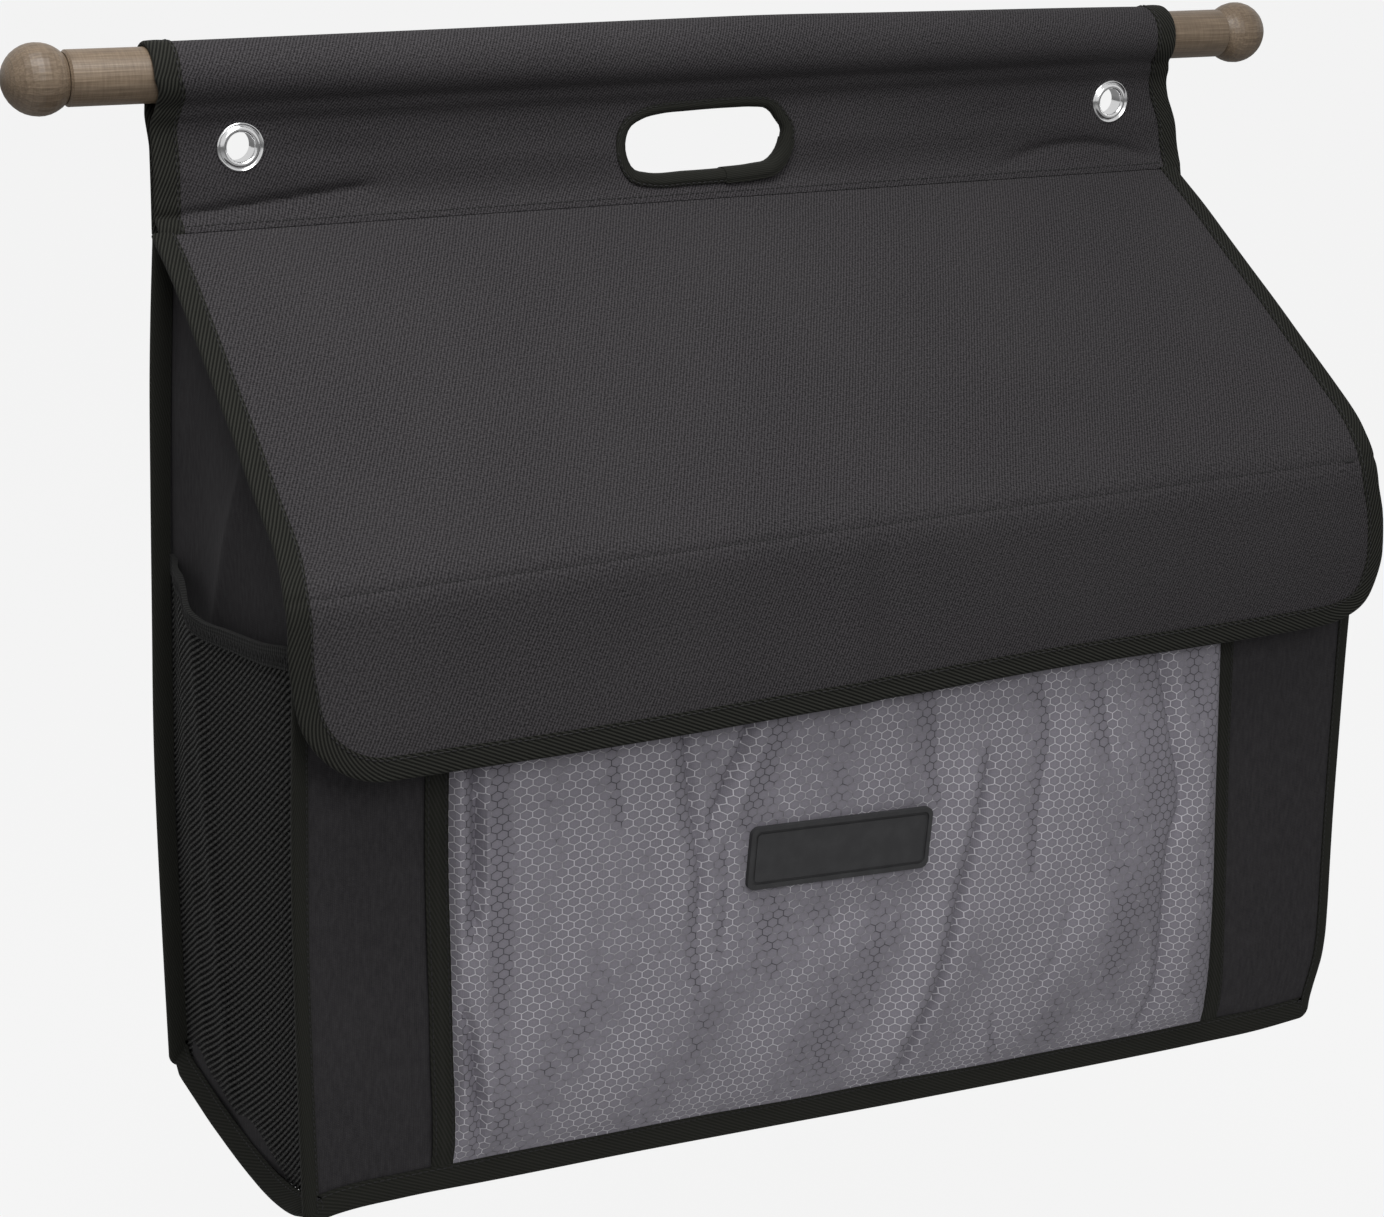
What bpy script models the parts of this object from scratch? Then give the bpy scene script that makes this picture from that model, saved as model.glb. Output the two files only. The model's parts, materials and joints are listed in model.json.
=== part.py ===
"""Hanging grooming bag: a bound-edge cloth box with a lift-up flap, hung from a wooden pole.

Units are metres. +Z is up, the bag's front faces -Y, and the origin is the middle of the
pole's axis above the middle of the bag.
"""

from math import acos, atan2, cos, hypot, pi, radians, sin, sqrt, tan

import bmesh
import bpy
from mathutils import Vector

# Cloth, tape and the clearance that touching pieces keep
CLOTH = 0.0020
LAYER = 0.0012
TAPE = 0.0010
GAP = 0.0003

# Overall bag
BAG_WIDTH = 0.600
BAG_DEPTH = 0.1878
HANG = 0.506
SEAM_ALLOWANCE = 0.0100
CORNER_RADIUS = 0.008

# Pole and its ball ends
POLE_RADIUS = 0.0130
POLE_LENGTH = 0.6660
POLE_SHIFT = -0.0038
POLE_CHAMFER = 0.0011
BALL_RADIUS = 0.0167
BALL_SEAT_RADIUS = 0.0115
SCREW_RADIUS = 0.0030
SCREW_DEPTH = 0.0140

# Header: the cloth sleeve round the pole, its hand hole and its eyelets
SLEEVE_EASE = 0.0006
NECK_Z = -0.0215
SPLIT_Z = -0.0640
SEAM_Z = -0.0720
SEAM_FORWARD = 0.0051
HAND_HOLE_WIDTH = 0.0900
HAND_HOLE_HEIGHT = 0.0292
HAND_HOLE_Z = -0.0425
HAND_TAPE_WIDTH = 0.0046
SIDE_TAPE_WIDTH = 0.0130
SIDE_TAPE_END_Z = -0.0660
EYELET_X = 0.2542
EYELET_Z = -0.0346
EYELET_RADIUS = 0.0118
EYELET_HOLE_RADIUS = 0.0072
EYELET_BARREL = 0.0007
EYELET_RISE = 0.0016

# Flap and its drop
HINGE_Y = -0.0116
HINGE_Z = -0.0739
FLAP_ANGLE = radians(34.9)
FLAP_LENGTH = 0.2181
BOARD = 0.0015
DROP_ANGLE = radians(80.0)
DROP_LENGTH = 0.0830
DROP_CORNER_RADIUS = 0.0380
FLAP_TAPE_WIDTH = 0.0130
FLAP_TAPE_START = 0.0080
FLAP_CLEARANCE = 0.0005

# Walls, pockets and trims
GUSSET_TOP_Z = -0.0765
BASE_BOARD = 0.0025
HEM_HEIGHT = 0.0200
POCKET_HALF_WIDTH = 0.2245
POCKET_TOP_Z = -0.2340
POCKET_SLACK = 0.0090
POCKET_FOLD = 0.0010
POCKET_TAPE_WIDTH = 0.0120
MESH_TOP_Z = -0.2320
MESH_SLACK = 0.0110
ELASTIC_HEIGHT = 0.0090
ELASTIC = 0.0020
LABEL_X = -0.0245
LABEL_Z = -0.3580
LABEL_WIDTH = 0.1040
LABEL_HEIGHT = 0.0320
LABEL_THICKNESS = 0.0026
LABEL_RADIUS = 0.0040
LABEL_RIM = 0.0022
LABEL_GROOVE = 0.0015
LABEL_FIELD_DEPTH = 0.0005
LABEL_GROOVE_DEPTH = 0.0010
BOARD_INSET = 0.0040
BOARD_SET_BACK = 0.0030
BINDING_SET_BACK = 0.0040

# How soft sheets crown: the share left at the foot, and how square the crown is
NET_FOOT_SHARE = 0.15
NET_SIDE_POWER = 0.8
NET_RISE_POWER = 0.7
POCKET_FOOT_SHARE = 0.25
POCKET_SIDE_POWER = 0.7
POCKET_CROWN_START = 0.12
POCKET_CROWN_SPAN = 0.74
POCKET_FOLDS = 5

# Cutters pass well clear of what they cut
CUT_THROUGH = 0.040
CUT_MARGIN = 0.010

# Facets
WELD = 0.000001
SPIN_WELD = 0.00001
POLE_STEPS = 40
BALL_STEPS = 30
BALL_RISE_STEPS = 14
SCREW_STEPS = 20
SLEEVE_STEPS = 28
HAND_STEPS = 14
EYELET_STEPS = 28
CROWN_STEPS = 6
CORNER_STEPS = 6
DROP_CORNER_STEPS = 10
KNUCKLE_STEPS = 20
NET_COLUMNS = 16
NET_ROWS = 8
POCKET_COLUMNS = 30
POCKET_ROWS = 9
LABEL_SAMPLES = 8

# Planes that the pieces share
HALF_WIDTH = BAG_WIDTH / 2
PANEL_HALF = HALF_WIDTH - GAP - TAPE
PANEL_FOOT = -HANG + TAPE + GAP
BACK_MID_Y = -CLOTH / 2
BACK_INNER_Y = BACK_MID_Y - CLOTH / 2
FRONT_OUTER_Y = -(BAG_DEPTH - GAP - TAPE)
FRONT_MID_Y = FRONT_OUTER_Y + CLOTH / 2
FRONT_INNER_Y = FRONT_OUTER_Y + CLOTH
GUSSET_OUTER_X = HALF_WIDTH - SEAM_ALLOWANCE - GAP
GUSSET_MID_X = GUSSET_OUTER_X - CLOTH / 2
GUSSET_INNER_X = GUSSET_OUTER_X - CLOTH
BASE_UNDER_Z = -HANG + SEAM_ALLOWANCE + GAP
SEAM_LEG = SEAM_ALLOWANCE - TAPE - GAP
SLEEVE_RADIUS = POLE_RADIUS + SLEEVE_EASE + CLOTH / 2
FRONT_LEG_Y = BACK_MID_Y - CLOTH - GAP
FLAP_STACK = LAYER + GAP + BOARD + GAP + LAYER
DROP_STACK = LAYER + GAP + LAYER
FLAP_TAPE_HALF = FLAP_STACK / 2 + GAP + TAPE
POLE_LEFT = POLE_SHIFT - POLE_LENGTH / 2
POLE_RIGHT = POLE_SHIFT + POLE_LENGTH / 2

# Turns that stand a flat drawing up: facing the front, facing +X and facing -X
FACE_FRONT = (pi / 2, 0, 0)
FACE_RIGHT = (pi / 2, 0, pi / 2)
FACE_LEFT = (pi / 2, 0, -pi / 2)


def clear_scene():
    for item in list(bpy.data.objects):
        bpy.data.objects.remove(item, do_unlink=True)


clear_scene()
BAG = bpy.data.collections.new("grooming_bag")
CUTTERS = bpy.data.collections.new("cutters")
bpy.context.scene.collection.children.link(BAG)
bpy.context.scene.collection.children.link(CUTTERS)


def finish_material(name, colour, roughness, metallic=0.0):
    material = bpy.data.materials.new(name)
    material.use_nodes = True
    shader = material.node_tree.nodes["Principled BSDF"]
    shader.inputs["Base Color"].default_value = (*colour, 1.0)
    shader.inputs["Roughness"].default_value = roughness
    shader.inputs["Metallic"].default_value = metallic
    material.diffuse_color = (*colour, 1.0)
    return material


TWILL = finish_material("charcoal_twill", (0.040, 0.037, 0.042), 0.82)
LINING = finish_material("plain_lining", (0.022, 0.021, 0.024), 0.85)
BINDING = finish_material("ribbed_binding_tape", (0.016, 0.017, 0.015), 0.80)
NET = finish_material("pocket_net", (0.012, 0.012, 0.013), 0.78)
ELASTIC_BAND = finish_material("woven_elastic", (0.030, 0.031, 0.031), 0.75)
RIPSTOP = finish_material("honeycomb_ripstop", (0.170, 0.165, 0.195), 0.62)
WOOD = finish_material("weathered_wood", (0.200, 0.150, 0.105), 0.55)
NICKEL = finish_material("nickel_plate", (0.780, 0.780, 0.790), 0.14, 1.0)
STEEL = finish_material("zinc_screw", (0.560, 0.570, 0.580), 0.35, 1.0)
RUBBER = finish_material("moulded_rubber", (0.020, 0.020, 0.021), 0.60)
PLASTIC = finish_material("stiffener_board", (0.060, 0.060, 0.062), 0.50)


def add_object(name, data, material, location=(0, 0, 0), rotation=(0, 0, 0), parent=None):
    item = bpy.data.objects.new(name, data)
    item.location = location
    item.rotation_euler = rotation
    item.parent = parent
    if material is not None:
        data.materials.append(material)
    BAG.objects.link(item)
    return item


def add_empty(name, location, rotation, parent=None):
    empty = bpy.data.objects.new(name, None)
    empty.empty_display_size = 0.02
    empty.location = location
    empty.rotation_euler = rotation
    empty.parent = parent
    BAG.objects.link(empty)
    return empty


def as_cutter(item):
    BAG.objects.unlink(item)
    CUTTERS.objects.link(item)
    item.hide_render = True
    item.display_type = "WIRE"
    return item


def flat_curve(name, outlines, closed=True):
    """A 2D curve of straight stretches through each outline's points."""
    curve = bpy.data.curves.new(name, "CURVE")
    curve.dimensions = "2D"
    for outline in outlines:
        spline = curve.splines.new("POLY")
        spline.points.add(len(outline) - 1)
        for point, (x, y) in zip(spline.points, outline):
            point.co = (x, y, 0, 1)
        spline.use_cyclic_u = closed
    return curve


def plate(name, outlines, thickness, material, location, rotation, parent=None):
    """A flat outline, with any holes in it, given a thickness about its own plane."""
    curve = flat_curve(name, outlines)
    curve.fill_mode = "BOTH"
    curve.extrude = thickness / 2
    return add_object(name, curve, material, location, rotation, parent)


def made_mesh(item):
    """Turn a curve object into a mesh object of the same name, with its caps welded on."""
    bpy.context.view_layer.update()
    graph = bpy.context.evaluated_depsgraph_get()
    mesh = bpy.data.meshes.new_from_object(item.evaluated_get(graph))
    weld = bmesh.new()
    weld.from_mesh(mesh)
    bmesh.ops.remove_doubles(weld, verts=weld.verts, dist=WELD)
    bmesh.ops.recalc_face_normals(weld, faces=weld.faces)
    weld.to_mesh(mesh)
    weld.free()
    name = item.name
    matrix = item.matrix_world.copy()
    parent = item.parent
    bpy.data.objects.remove(item)
    solid = bpy.data.objects.new(name, mesh)
    BAG.objects.link(solid)
    solid.parent = parent
    if parent is not None:
        solid.matrix_parent_inverse = parent.matrix_world.inverted()
    solid.matrix_world = matrix
    return solid


def cut(item, cutter):
    knife = item.modifiers.new("cut_" + cutter.name, "BOOLEAN")
    knife.operation = "DIFFERENCE"
    knife.solver = "EXACT"
    knife.object = cutter


def arc(centre, radius, start, stop, steps):
    """Points on an arc from one angle to another, both ends included."""
    span = stop - start
    angles = [start + span * k / steps for k in range(steps + 1)]
    return [(centre[0] + radius * cos(a), centre[1] + radius * sin(a)) for a in angles]


def rounded_box(half_width, half_height, radius):
    """A rounded rectangle about the origin, anticlockwise."""
    x = half_width - radius
    y = half_height - radius
    corners = [((x, -y), -pi / 2), ((x, y), 0), ((-x, y), pi / 2), ((-x, -y), pi)]
    points = []
    for centre, start in corners:
        points += arc(centre, radius, start, start + pi / 2, CORNER_STEPS)
    return points


def shift_line(points, distance):
    """The open line moved sideways by a distance, to its left, with mitred bends."""
    shifted = []
    for k, (x, y) in enumerate(points):
        before = Vector(points[max(k - 1, 0)])
        here = Vector((x, y))
        after = Vector(points[min(k + 1, len(points) - 1)])
        way_in = (here - before).normalized() if k > 0 else (after - here).normalized()
        way_out = (after - here).normalized() if k < len(points) - 1 else way_in
        normal_in = Vector((-way_in.y, way_in.x))
        normal_out = Vector((-way_out.y, way_out.x))
        mitre = (normal_in + normal_out).normalized()
        reach = distance / max(mitre.dot(normal_in), 0.5)
        shifted.append((x + mitre.x * reach, y + mitre.y * reach))
    return shifted


def wrap_profile(stack, leg):
    """The section of a binding tape folded round an edge: a C that opens to the left of its path."""
    outer = GAP + TAPE
    half = stack / 2 + GAP + TAPE
    return [
        (outer, -half), (outer, half), (-leg, half), (-leg, half - TAPE),
        (GAP, half - TAPE), (GAP, TAPE - half), (-leg, TAPE - half), (-leg, -half),
    ]


def swept(name, path, profile, material, location, rotation, parent=None, closed=False):
    """A section swept along a flat path. Section x is to the path's right, section y is up."""
    section = as_cutter(add_object(name + "_section", flat_curve(name + "_section", [profile]), None))
    curve = flat_curve(name, [path], closed)
    curve.bevel_mode = "OBJECT"
    curve.bevel_object = section
    curve.use_fill_caps = not closed
    solid = made_mesh(add_object(name, curve, material, location, rotation, parent))
    bpy.data.objects.remove(section)
    return solid


def turned(name, profile, steps, material, location, rotation, parent=None, closed=False):
    """A profile of (radius, height) points spun round its own z axis."""
    mesh = bpy.data.meshes.new(name)
    count = len(profile)
    edges = [(k, k + 1) for k in range(count - 1)]
    if closed:
        edges.append((count - 1, 0))
    mesh.from_pydata([(r, 0, z) for r, z in profile], edges, [])
    item = add_object(name, mesh, material, location, rotation, parent)
    spin = item.modifiers.new("spin", "SCREW")
    spin.steps = steps
    spin.render_steps = steps
    spin.use_merge_vertices = True
    spin.merge_threshold = SPIN_WELD
    spin.use_smooth_shade = False
    return item


def crowned_sheet(name, width, height, columns, rows, bulge, thickness, material, location, rotation):
    """A sheet that bulges along its own z by bulge(across, up), both from 0 to 1."""
    shape = bmesh.new()
    bmesh.ops.create_grid(shape, x_segments=columns, y_segments=rows, size=0.5)
    for point in shape.verts:
        across = point.co.x + 0.5
        up = point.co.y + 0.5
        point.co = ((across - 0.5) * width, up * height, bulge(across, up))
    mesh = bpy.data.meshes.new(name)
    shape.to_mesh(mesh)
    shape.free()
    item = add_object(name, mesh, material, location, rotation)
    skin = item.modifiers.new("skin", "SOLIDIFY")
    skin.thickness = thickness
    skin.offset = 1.0
    return item


def make_pole():
    bore = SCREW_RADIUS + GAP
    half = POLE_LENGTH / 2
    rim = POLE_RADIUS - POLE_CHAMFER
    profile = [
        (0, half - SCREW_DEPTH), (bore, half - SCREW_DEPTH), (bore, half), (rim, half),
        (POLE_RADIUS, half - POLE_CHAMFER), (POLE_RADIUS, POLE_CHAMFER - half),
        (rim, -half), (bore, -half), (bore, SCREW_DEPTH - half), (0, SCREW_DEPTH - half),
    ]
    turned("pole", profile, POLE_STEPS, WOOD, (POLE_SHIFT, 0, 0), (0, pi / 2, 0))


def make_finial(side, end_x, outward):
    """A ball with a flat seat against the pole's end and a blind hole for its dowel screw."""
    seat = sqrt(BALL_RADIUS ** 2 - BALL_SEAT_RADIUS ** 2)
    centre_x = end_x + outward * (seat + GAP)
    start = atan2(-seat, BALL_SEAT_RADIUS)
    ball = arc((0, 0), BALL_RADIUS, pi / 2, start, BALL_RISE_STEPS)
    ball[0] = (0, BALL_RADIUS)
    bore = SCREW_RADIUS + GAP
    profile = ball + [(bore, -seat), (bore, SCREW_DEPTH - seat), (0, SCREW_DEPTH - seat)]
    turn = (0, outward * pi / 2, 0)
    turned("finial_" + side, profile, BALL_STEPS, WOOD, (centre_x, 0, 0), turn)
    reach = SCREW_DEPTH - GAP
    middle = end_x + outward * GAP / 2
    screw = [(0, reach), (SCREW_RADIUS, reach), (SCREW_RADIUS, -reach), (0, -reach)]
    turned("dowel_screw_" + side, screw, SCREW_STEPS, STEEL, (middle, 0, 0), turn)


def sleeve_line():
    """The header cloth seen from the end, as (y, z): up the front, over the pole, down the back."""
    ends = []
    for leg_y, turn in ((FRONT_LEG_Y, -1), (BACK_MID_Y, 1)):
        bearing = atan2(NECK_Z, leg_y)
        ends.append(bearing + turn * acos(SLEEVE_RADIUS / hypot(leg_y, NECK_Z)))
    over = arc((0, 0), SLEEVE_RADIUS, ends[0] + 2 * pi, ends[1], SLEEVE_STEPS)
    front = [(FRONT_LEG_Y - SEAM_FORWARD, SEAM_Z), (FRONT_LEG_Y, SPLIT_Z), (FRONT_LEG_Y, NECK_Z)]
    back = [(BACK_MID_Y, NECK_Z), (BACK_MID_Y, SEAM_Z - CLOTH)]
    return front + over + back


def hand_hole_outline(spread=0.0):
    """The stadium-shaped hand hole, grown outwards by a spread."""
    radius = HAND_HOLE_HEIGHT / 2 + spread
    middle = (HAND_HOLE_WIDTH - HAND_HOLE_HEIGHT) / 2
    right = arc((middle, 0), radius, -pi / 2, pi / 2, HAND_STEPS)
    left = arc((-middle, 0), radius, pi / 2, 3 * pi / 2, HAND_STEPS)
    return right + left


def make_header():
    line = sleeve_line()
    outline = shift_line(line, CLOTH / 2) + list(reversed(shift_line(line, -CLOTH / 2)))
    width = 2 * PANEL_HALF
    sleeve = made_mesh(plate("header_sleeve", [outline], width, TWILL, (0, 0, 0), FACE_RIGHT))
    opening = hand_hole_outline(TAPE + GAP)
    hand = plate("hand_hole", [opening], CUT_THROUGH, None, (0, 0, HAND_HOLE_Z), FACE_FRONT)
    cut(sleeve, as_cutter(made_mesh(hand)))
    hole_radius = EYELET_HOLE_RADIUS + EYELET_BARREL + GAP
    for side, x in (("left", -EYELET_X), ("right", EYELET_X)):
        ring = [arc((0, 0), hole_radius, 0, 2 * pi, EYELET_STEPS)[:-1]]
        place = (x, 0, EYELET_Z)
        drill = plate("eyelet_hole_" + side, ring, CUT_THROUGH, None, place, FACE_FRONT)
        cut(sleeve, as_cutter(made_mesh(drill)))

    # The tape round the hand hole wraps both layers of cloth
    both = 2 * CLOTH + GAP
    middle_y = (FRONT_LEG_Y + BACK_MID_Y) / 2
    rim = list(reversed(hand_hole_outline(TAPE + GAP)))
    grip = wrap_profile(both, HAND_TAPE_WIDTH)
    swept("hand_hole_tape", rim, grip, BINDING, (0, middle_y, HAND_HOLE_Z), FACE_FRONT, closed=True)
    make_header_tape("left", -1)
    make_header_tape("right", 1)


def make_header_tape(side, hand):
    """The tape on the sleeve's raw edge: one leg on the outer face, turned in over the edge."""
    line = sleeve_line()
    foot = line[0]
    rise = (SIDE_TAPE_END_Z - foot[1]) / (line[1][1] - foot[1])
    start = (foot[0] + (line[1][0] - foot[0]) * rise, SIDE_TAPE_END_Z)
    path = [start] + line[1:]
    face = -(CLOTH / 2 + GAP)
    back = CLOTH / 2
    leg = SIDE_TAPE_WIDTH
    section = [
        (back, hand * GAP), (back, hand * (GAP + TAPE)), (face - TAPE, hand * (GAP + TAPE)),
        (face - TAPE, -hand * leg), (face, -hand * leg), (face, hand * GAP),
    ]
    if hand < 0:
        section.reverse()
    swept("header_tape_" + side, path, section, BINDING, (hand * PANEL_HALF, 0, 0), FACE_RIGHT)


def make_eyelet(side, x):
    """A two-part eyelet: a front flange rolled into a barrel, and a washer behind the cloth."""
    front_face = FRONT_LEG_Y - CLOTH / 2 - GAP
    back_face = BACK_MID_Y + CLOTH / 2 + GAP
    length = back_face - front_face
    inner = EYELET_HOLE_RADIUS
    outer = inner + EYELET_BARREL
    crown = arc(((inner + EYELET_RADIUS) / 2, 0), (EYELET_RADIUS - inner) / 2, pi, 0, CROWN_STEPS)
    dome = [(r, EYELET_RISE * h / ((EYELET_RADIUS - inner) / 2)) for r, h in crown]
    flange = [(outer, 0), (outer, -length - TAPE), (inner, -length - TAPE)] + dome
    place = (x, front_face, EYELET_Z)
    turned("eyelet_" + side, flange, EYELET_STEPS, NICKEL, place, FACE_FRONT, closed=True)
    bore = outer + GAP
    rim = EYELET_RADIUS
    washer = [(rim, -TAPE / 2), (rim - TAPE / 2, -TAPE), (bore, -TAPE), (bore, 0), (rim, 0)]
    place = (x, back_face, EYELET_Z)
    turned("eyelet_washer_" + side, washer, EYELET_STEPS, NICKEL, place, FACE_FRONT, closed=True)


def panel_outline(top_z):
    """A wall panel with rounded lower corners, drawn from the front."""
    low = PANEL_FOOT + CORNER_RADIUS
    wide = PANEL_HALF - CORNER_RADIUS
    left = arc((-wide, low), CORNER_RADIUS, pi, 3 * pi / 2, CORNER_STEPS)
    right = arc((wide, low), CORNER_RADIUS, -pi / 2, 0, CORNER_STEPS)
    return [(-PANEL_HALF, top_z)] + left + right + [(PANEL_HALF, top_z)]


def flap_line_z(y, below):
    """Height of a line under the flap, parallel to it, where it passes a given y."""
    along = (HINGE_Y + below * sin(FLAP_ANGLE) - y) / cos(FLAP_ANGLE)
    return HINGE_Z - along * sin(FLAP_ANGLE) - below * cos(FLAP_ANGLE)


def make_walls():
    back_top = SEAM_Z - CLOTH - GAP
    front_top = flap_line_z(FRONT_OUTER_Y, FLAP_TAPE_HALF + FLAP_CLEARANCE)
    plate("back_panel", [panel_outline(back_top)], CLOTH, LINING, (0, BACK_MID_Y, 0), FACE_FRONT)
    plate("front_panel", [panel_outline(front_top)], CLOTH, LINING, (0, FRONT_MID_Y, 0), FACE_FRONT)
    wrap = wrap_profile(CLOTH, SEAM_LEG)
    tape_top = front_top - BINDING_SET_BACK
    place = (0, FRONT_MID_Y, 0)
    swept("front_binding", panel_outline(tape_top), wrap, BINDING, place, FACE_FRONT)
    swept("back_binding", panel_outline(back_top), wrap, BINDING, (0, BACK_MID_Y, 0), FACE_FRONT)

    hem_y = FRONT_OUTER_Y - GAP - LAYER / 2
    hem_half = PANEL_HALF - SEAM_ALLOWANCE - TAPE
    hem = rectangle(-hem_half, hem_half, front_top - HEM_HEIGHT, front_top)
    plate("front_hem", [hem], LAYER, TWILL, (0, hem_y, 0), FACE_FRONT)
    make_gussets()
    make_base()


def rectangle(left, right, bottom, top):
    return [(left, bottom), (right, bottom), (right, top), (left, top)]


def gusset_outline():
    """A side wall drawn as (y, z): its top follows the closed flap, its foot clears the tapes."""
    below = FLAP_TAPE_HALF + FLAP_CLEARANCE
    front = FRONT_INNER_Y + GAP
    back = BACK_INNER_Y - GAP
    level = HINGE_Y - (HINGE_Z - below / cos(FLAP_ANGLE) - GUSSET_TOP_Z) / tan(FLAP_ANGLE)
    notch_z = BASE_UNDER_Z
    notch = TAPE + GAP
    return [
        (back, GUSSET_TOP_Z), (level, GUSSET_TOP_Z), (front, flap_line_z(front, below)),
        (front, notch_z), (front + notch, notch_z), (front + notch, PANEL_FOOT),
        (back - notch, PANEL_FOOT), (back - notch, notch_z), (back, notch_z),
    ]


def make_gussets():
    back = BACK_INNER_Y - 3 * GAP - TAPE
    front = FRONT_INNER_Y + 3 * GAP + TAPE
    wrap = wrap_profile(CLOTH, SEAM_LEG)
    for side, hand in (("left", -1), ("right", 1)):
        place = (hand * GUSSET_MID_X, 0, 0)
        plate("side_gusset_" + side, [gusset_outline()], CLOTH, LINING, place, FACE_RIGHT)
        path = [(front, PANEL_FOOT), (back, PANEL_FOOT)]
        swept("base_binding_" + side, path, wrap, BINDING, place, FACE_RIGHT)


def make_base():
    wide = GUSSET_INNER_X - GAP
    front = FRONT_INNER_Y + GAP
    back = BACK_INNER_Y - GAP
    floor_z = BASE_UNDER_Z + CLOTH / 2
    sheet = rectangle(-wide, wide, front, back)
    plate("base_panel", [sheet], CLOTH, LINING, (0, 0, floor_z), (0, 0, 0))
    middle_y = (front + back) / 2
    board = rounded_box(wide - BOARD_INSET, (back - front) / 2 - BOARD_INSET, CORNER_RADIUS)
    board_z = floor_z + CLOTH / 2 + GAP + BASE_BOARD / 2
    plate("base_board", [board], BASE_BOARD, PLASTIC, (0, middle_y, board_z), (0, 0, 0))


def mesh_bulge(across, up):
    """How far a side pocket stands off its wall: sewn at the sides and foot, open at the top."""
    rise = NET_FOOT_SHARE + (1 - NET_FOOT_SHARE) * up ** NET_RISE_POWER
    return GAP + MESH_SLACK * sin(pi * across) ** NET_SIDE_POWER * rise


def make_side_pockets():
    back = BACK_INNER_Y - 3 * GAP - TAPE
    front = FRONT_INNER_Y + 3 * GAP + TAPE
    width = back - front
    middle = (back + front) / 2
    foot = BASE_UNDER_Z
    net_top = MESH_TOP_Z - ELASTIC_HEIGHT - GAP
    band_z = MESH_TOP_Z - ELASTIC_HEIGHT
    height = net_top - foot
    for side, hand, turn in (("left", -1, FACE_LEFT), ("right", 1, FACE_RIGHT)):
        place = (hand * GUSSET_OUTER_X, middle, foot)
        crowned_sheet(
            "mesh_pocket_" + side, width, height, NET_COLUMNS, NET_ROWS, mesh_bulge, LAYER, NET,
            place, turn,
        )
        band = (hand * GUSSET_OUTER_X, middle, band_z)
        crowned_sheet(
            "mesh_elastic_" + side, width, ELASTIC_HEIGHT, NET_COLUMNS, 1,
            lambda across, up: mesh_bulge(across, 1.0), ELASTIC, ELASTIC_BAND, band, turn,
        )


def pocket_bulge(across, up):
    """How far the front pocket stands off the panel, with a few soft upright folds near its mouth."""
    belly = sin(pi * (POCKET_CROWN_START + POCKET_CROWN_SPAN * up))
    rise = POCKET_FOOT_SHARE + (1 - POCKET_FOOT_SHARE) * belly
    crown = POCKET_SLACK * sin(pi * across) ** POCKET_SIDE_POWER * rise
    fold = POCKET_FOLD * sin(pi * across) * up * (1 - cos(2 * pi * POCKET_FOLDS * across)) / 2
    return GAP + crown + fold


def make_front_pocket():
    foot = BASE_UNDER_Z
    top = POCKET_TOP_Z - ELASTIC_HEIGHT - GAP
    width = 2 * POCKET_HALF_WIDTH
    place = (0, FRONT_OUTER_Y, foot)
    crowned_sheet(
        "front_pocket", width, top - foot, POCKET_COLUMNS, POCKET_ROWS, pocket_bulge, LAYER,
        RIPSTOP, place, FACE_FRONT,
    )
    band = (0, FRONT_OUTER_Y, POCKET_TOP_Z - ELASTIC_HEIGHT)
    crowned_sheet(
        "pocket_elastic", width, ELASTIC_HEIGHT, POCKET_COLUMNS, 1,
        lambda across, up: pocket_bulge(across, 1.0), LAYER, ELASTIC_BAND, band, FACE_FRONT,
    )
    tape_y = FRONT_OUTER_Y - GAP - TAPE / 2
    hem_foot = flap_line_z(FRONT_OUTER_Y, FLAP_TAPE_HALF + FLAP_CLEARANCE) - HEM_HEIGHT - GAP
    near = POCKET_HALF_WIDTH + GAP
    far = near + POCKET_TAPE_WIDTH
    for side, low, high in (("left", -far, -near), ("right", near, far)):
        strip = rectangle(low, high, foot, hem_foot)
        plate("pocket_tape_" + side, [strip], TAPE, BINDING, (0, tape_y, 0), FACE_FRONT)
    make_label(foot, top)


def make_label(foot, top):
    """A bare moulded patch with a raised rim and a groove inside it, sewn on the pocket."""
    samples = [k / LABEL_SAMPLES - 0.5 for k in range(LABEL_SAMPLES + 1)]
    crest = 0
    for i in samples:
        for j in samples:
            across = (LABEL_X + i * LABEL_WIDTH) / (2 * POCKET_HALF_WIDTH) + 0.5
            up = (LABEL_Z + j * LABEL_HEIGHT - foot) / (top - foot)
            crest = max(crest, pocket_bulge(across, up))
    face = FRONT_OUTER_Y - crest - LAYER - GAP - LABEL_THICKNESS
    middle = (LABEL_X, face + LABEL_THICKNESS / 2, LABEL_Z)
    half_w = LABEL_WIDTH / 2
    half_h = LABEL_HEIGHT / 2
    body = [rounded_box(half_w, half_h, LABEL_RADIUS)]
    patch = made_mesh(plate("label_patch", body, LABEL_THICKNESS, RUBBER, middle, FACE_FRONT))
    field = rounded_box(half_w - LABEL_RIM, half_h - LABEL_RIM, LABEL_RADIUS - LABEL_RIM / 2)
    inset = LABEL_RIM + LABEL_GROOVE
    island = rounded_box(half_w - inset, half_h - inset, LABEL_RADIUS / 2)
    place = (LABEL_X, face, LABEL_Z)
    sink = plate("label_field", [field], 2 * LABEL_FIELD_DEPTH, None, place, FACE_FRONT)
    ring = [field, island]
    groove = plate("label_groove", ring, 2 * LABEL_GROOVE_DEPTH, None, place, FACE_FRONT)
    for cutter in (sink, groove):
        cut(patch, as_cutter(made_mesh(cutter)))


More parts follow.
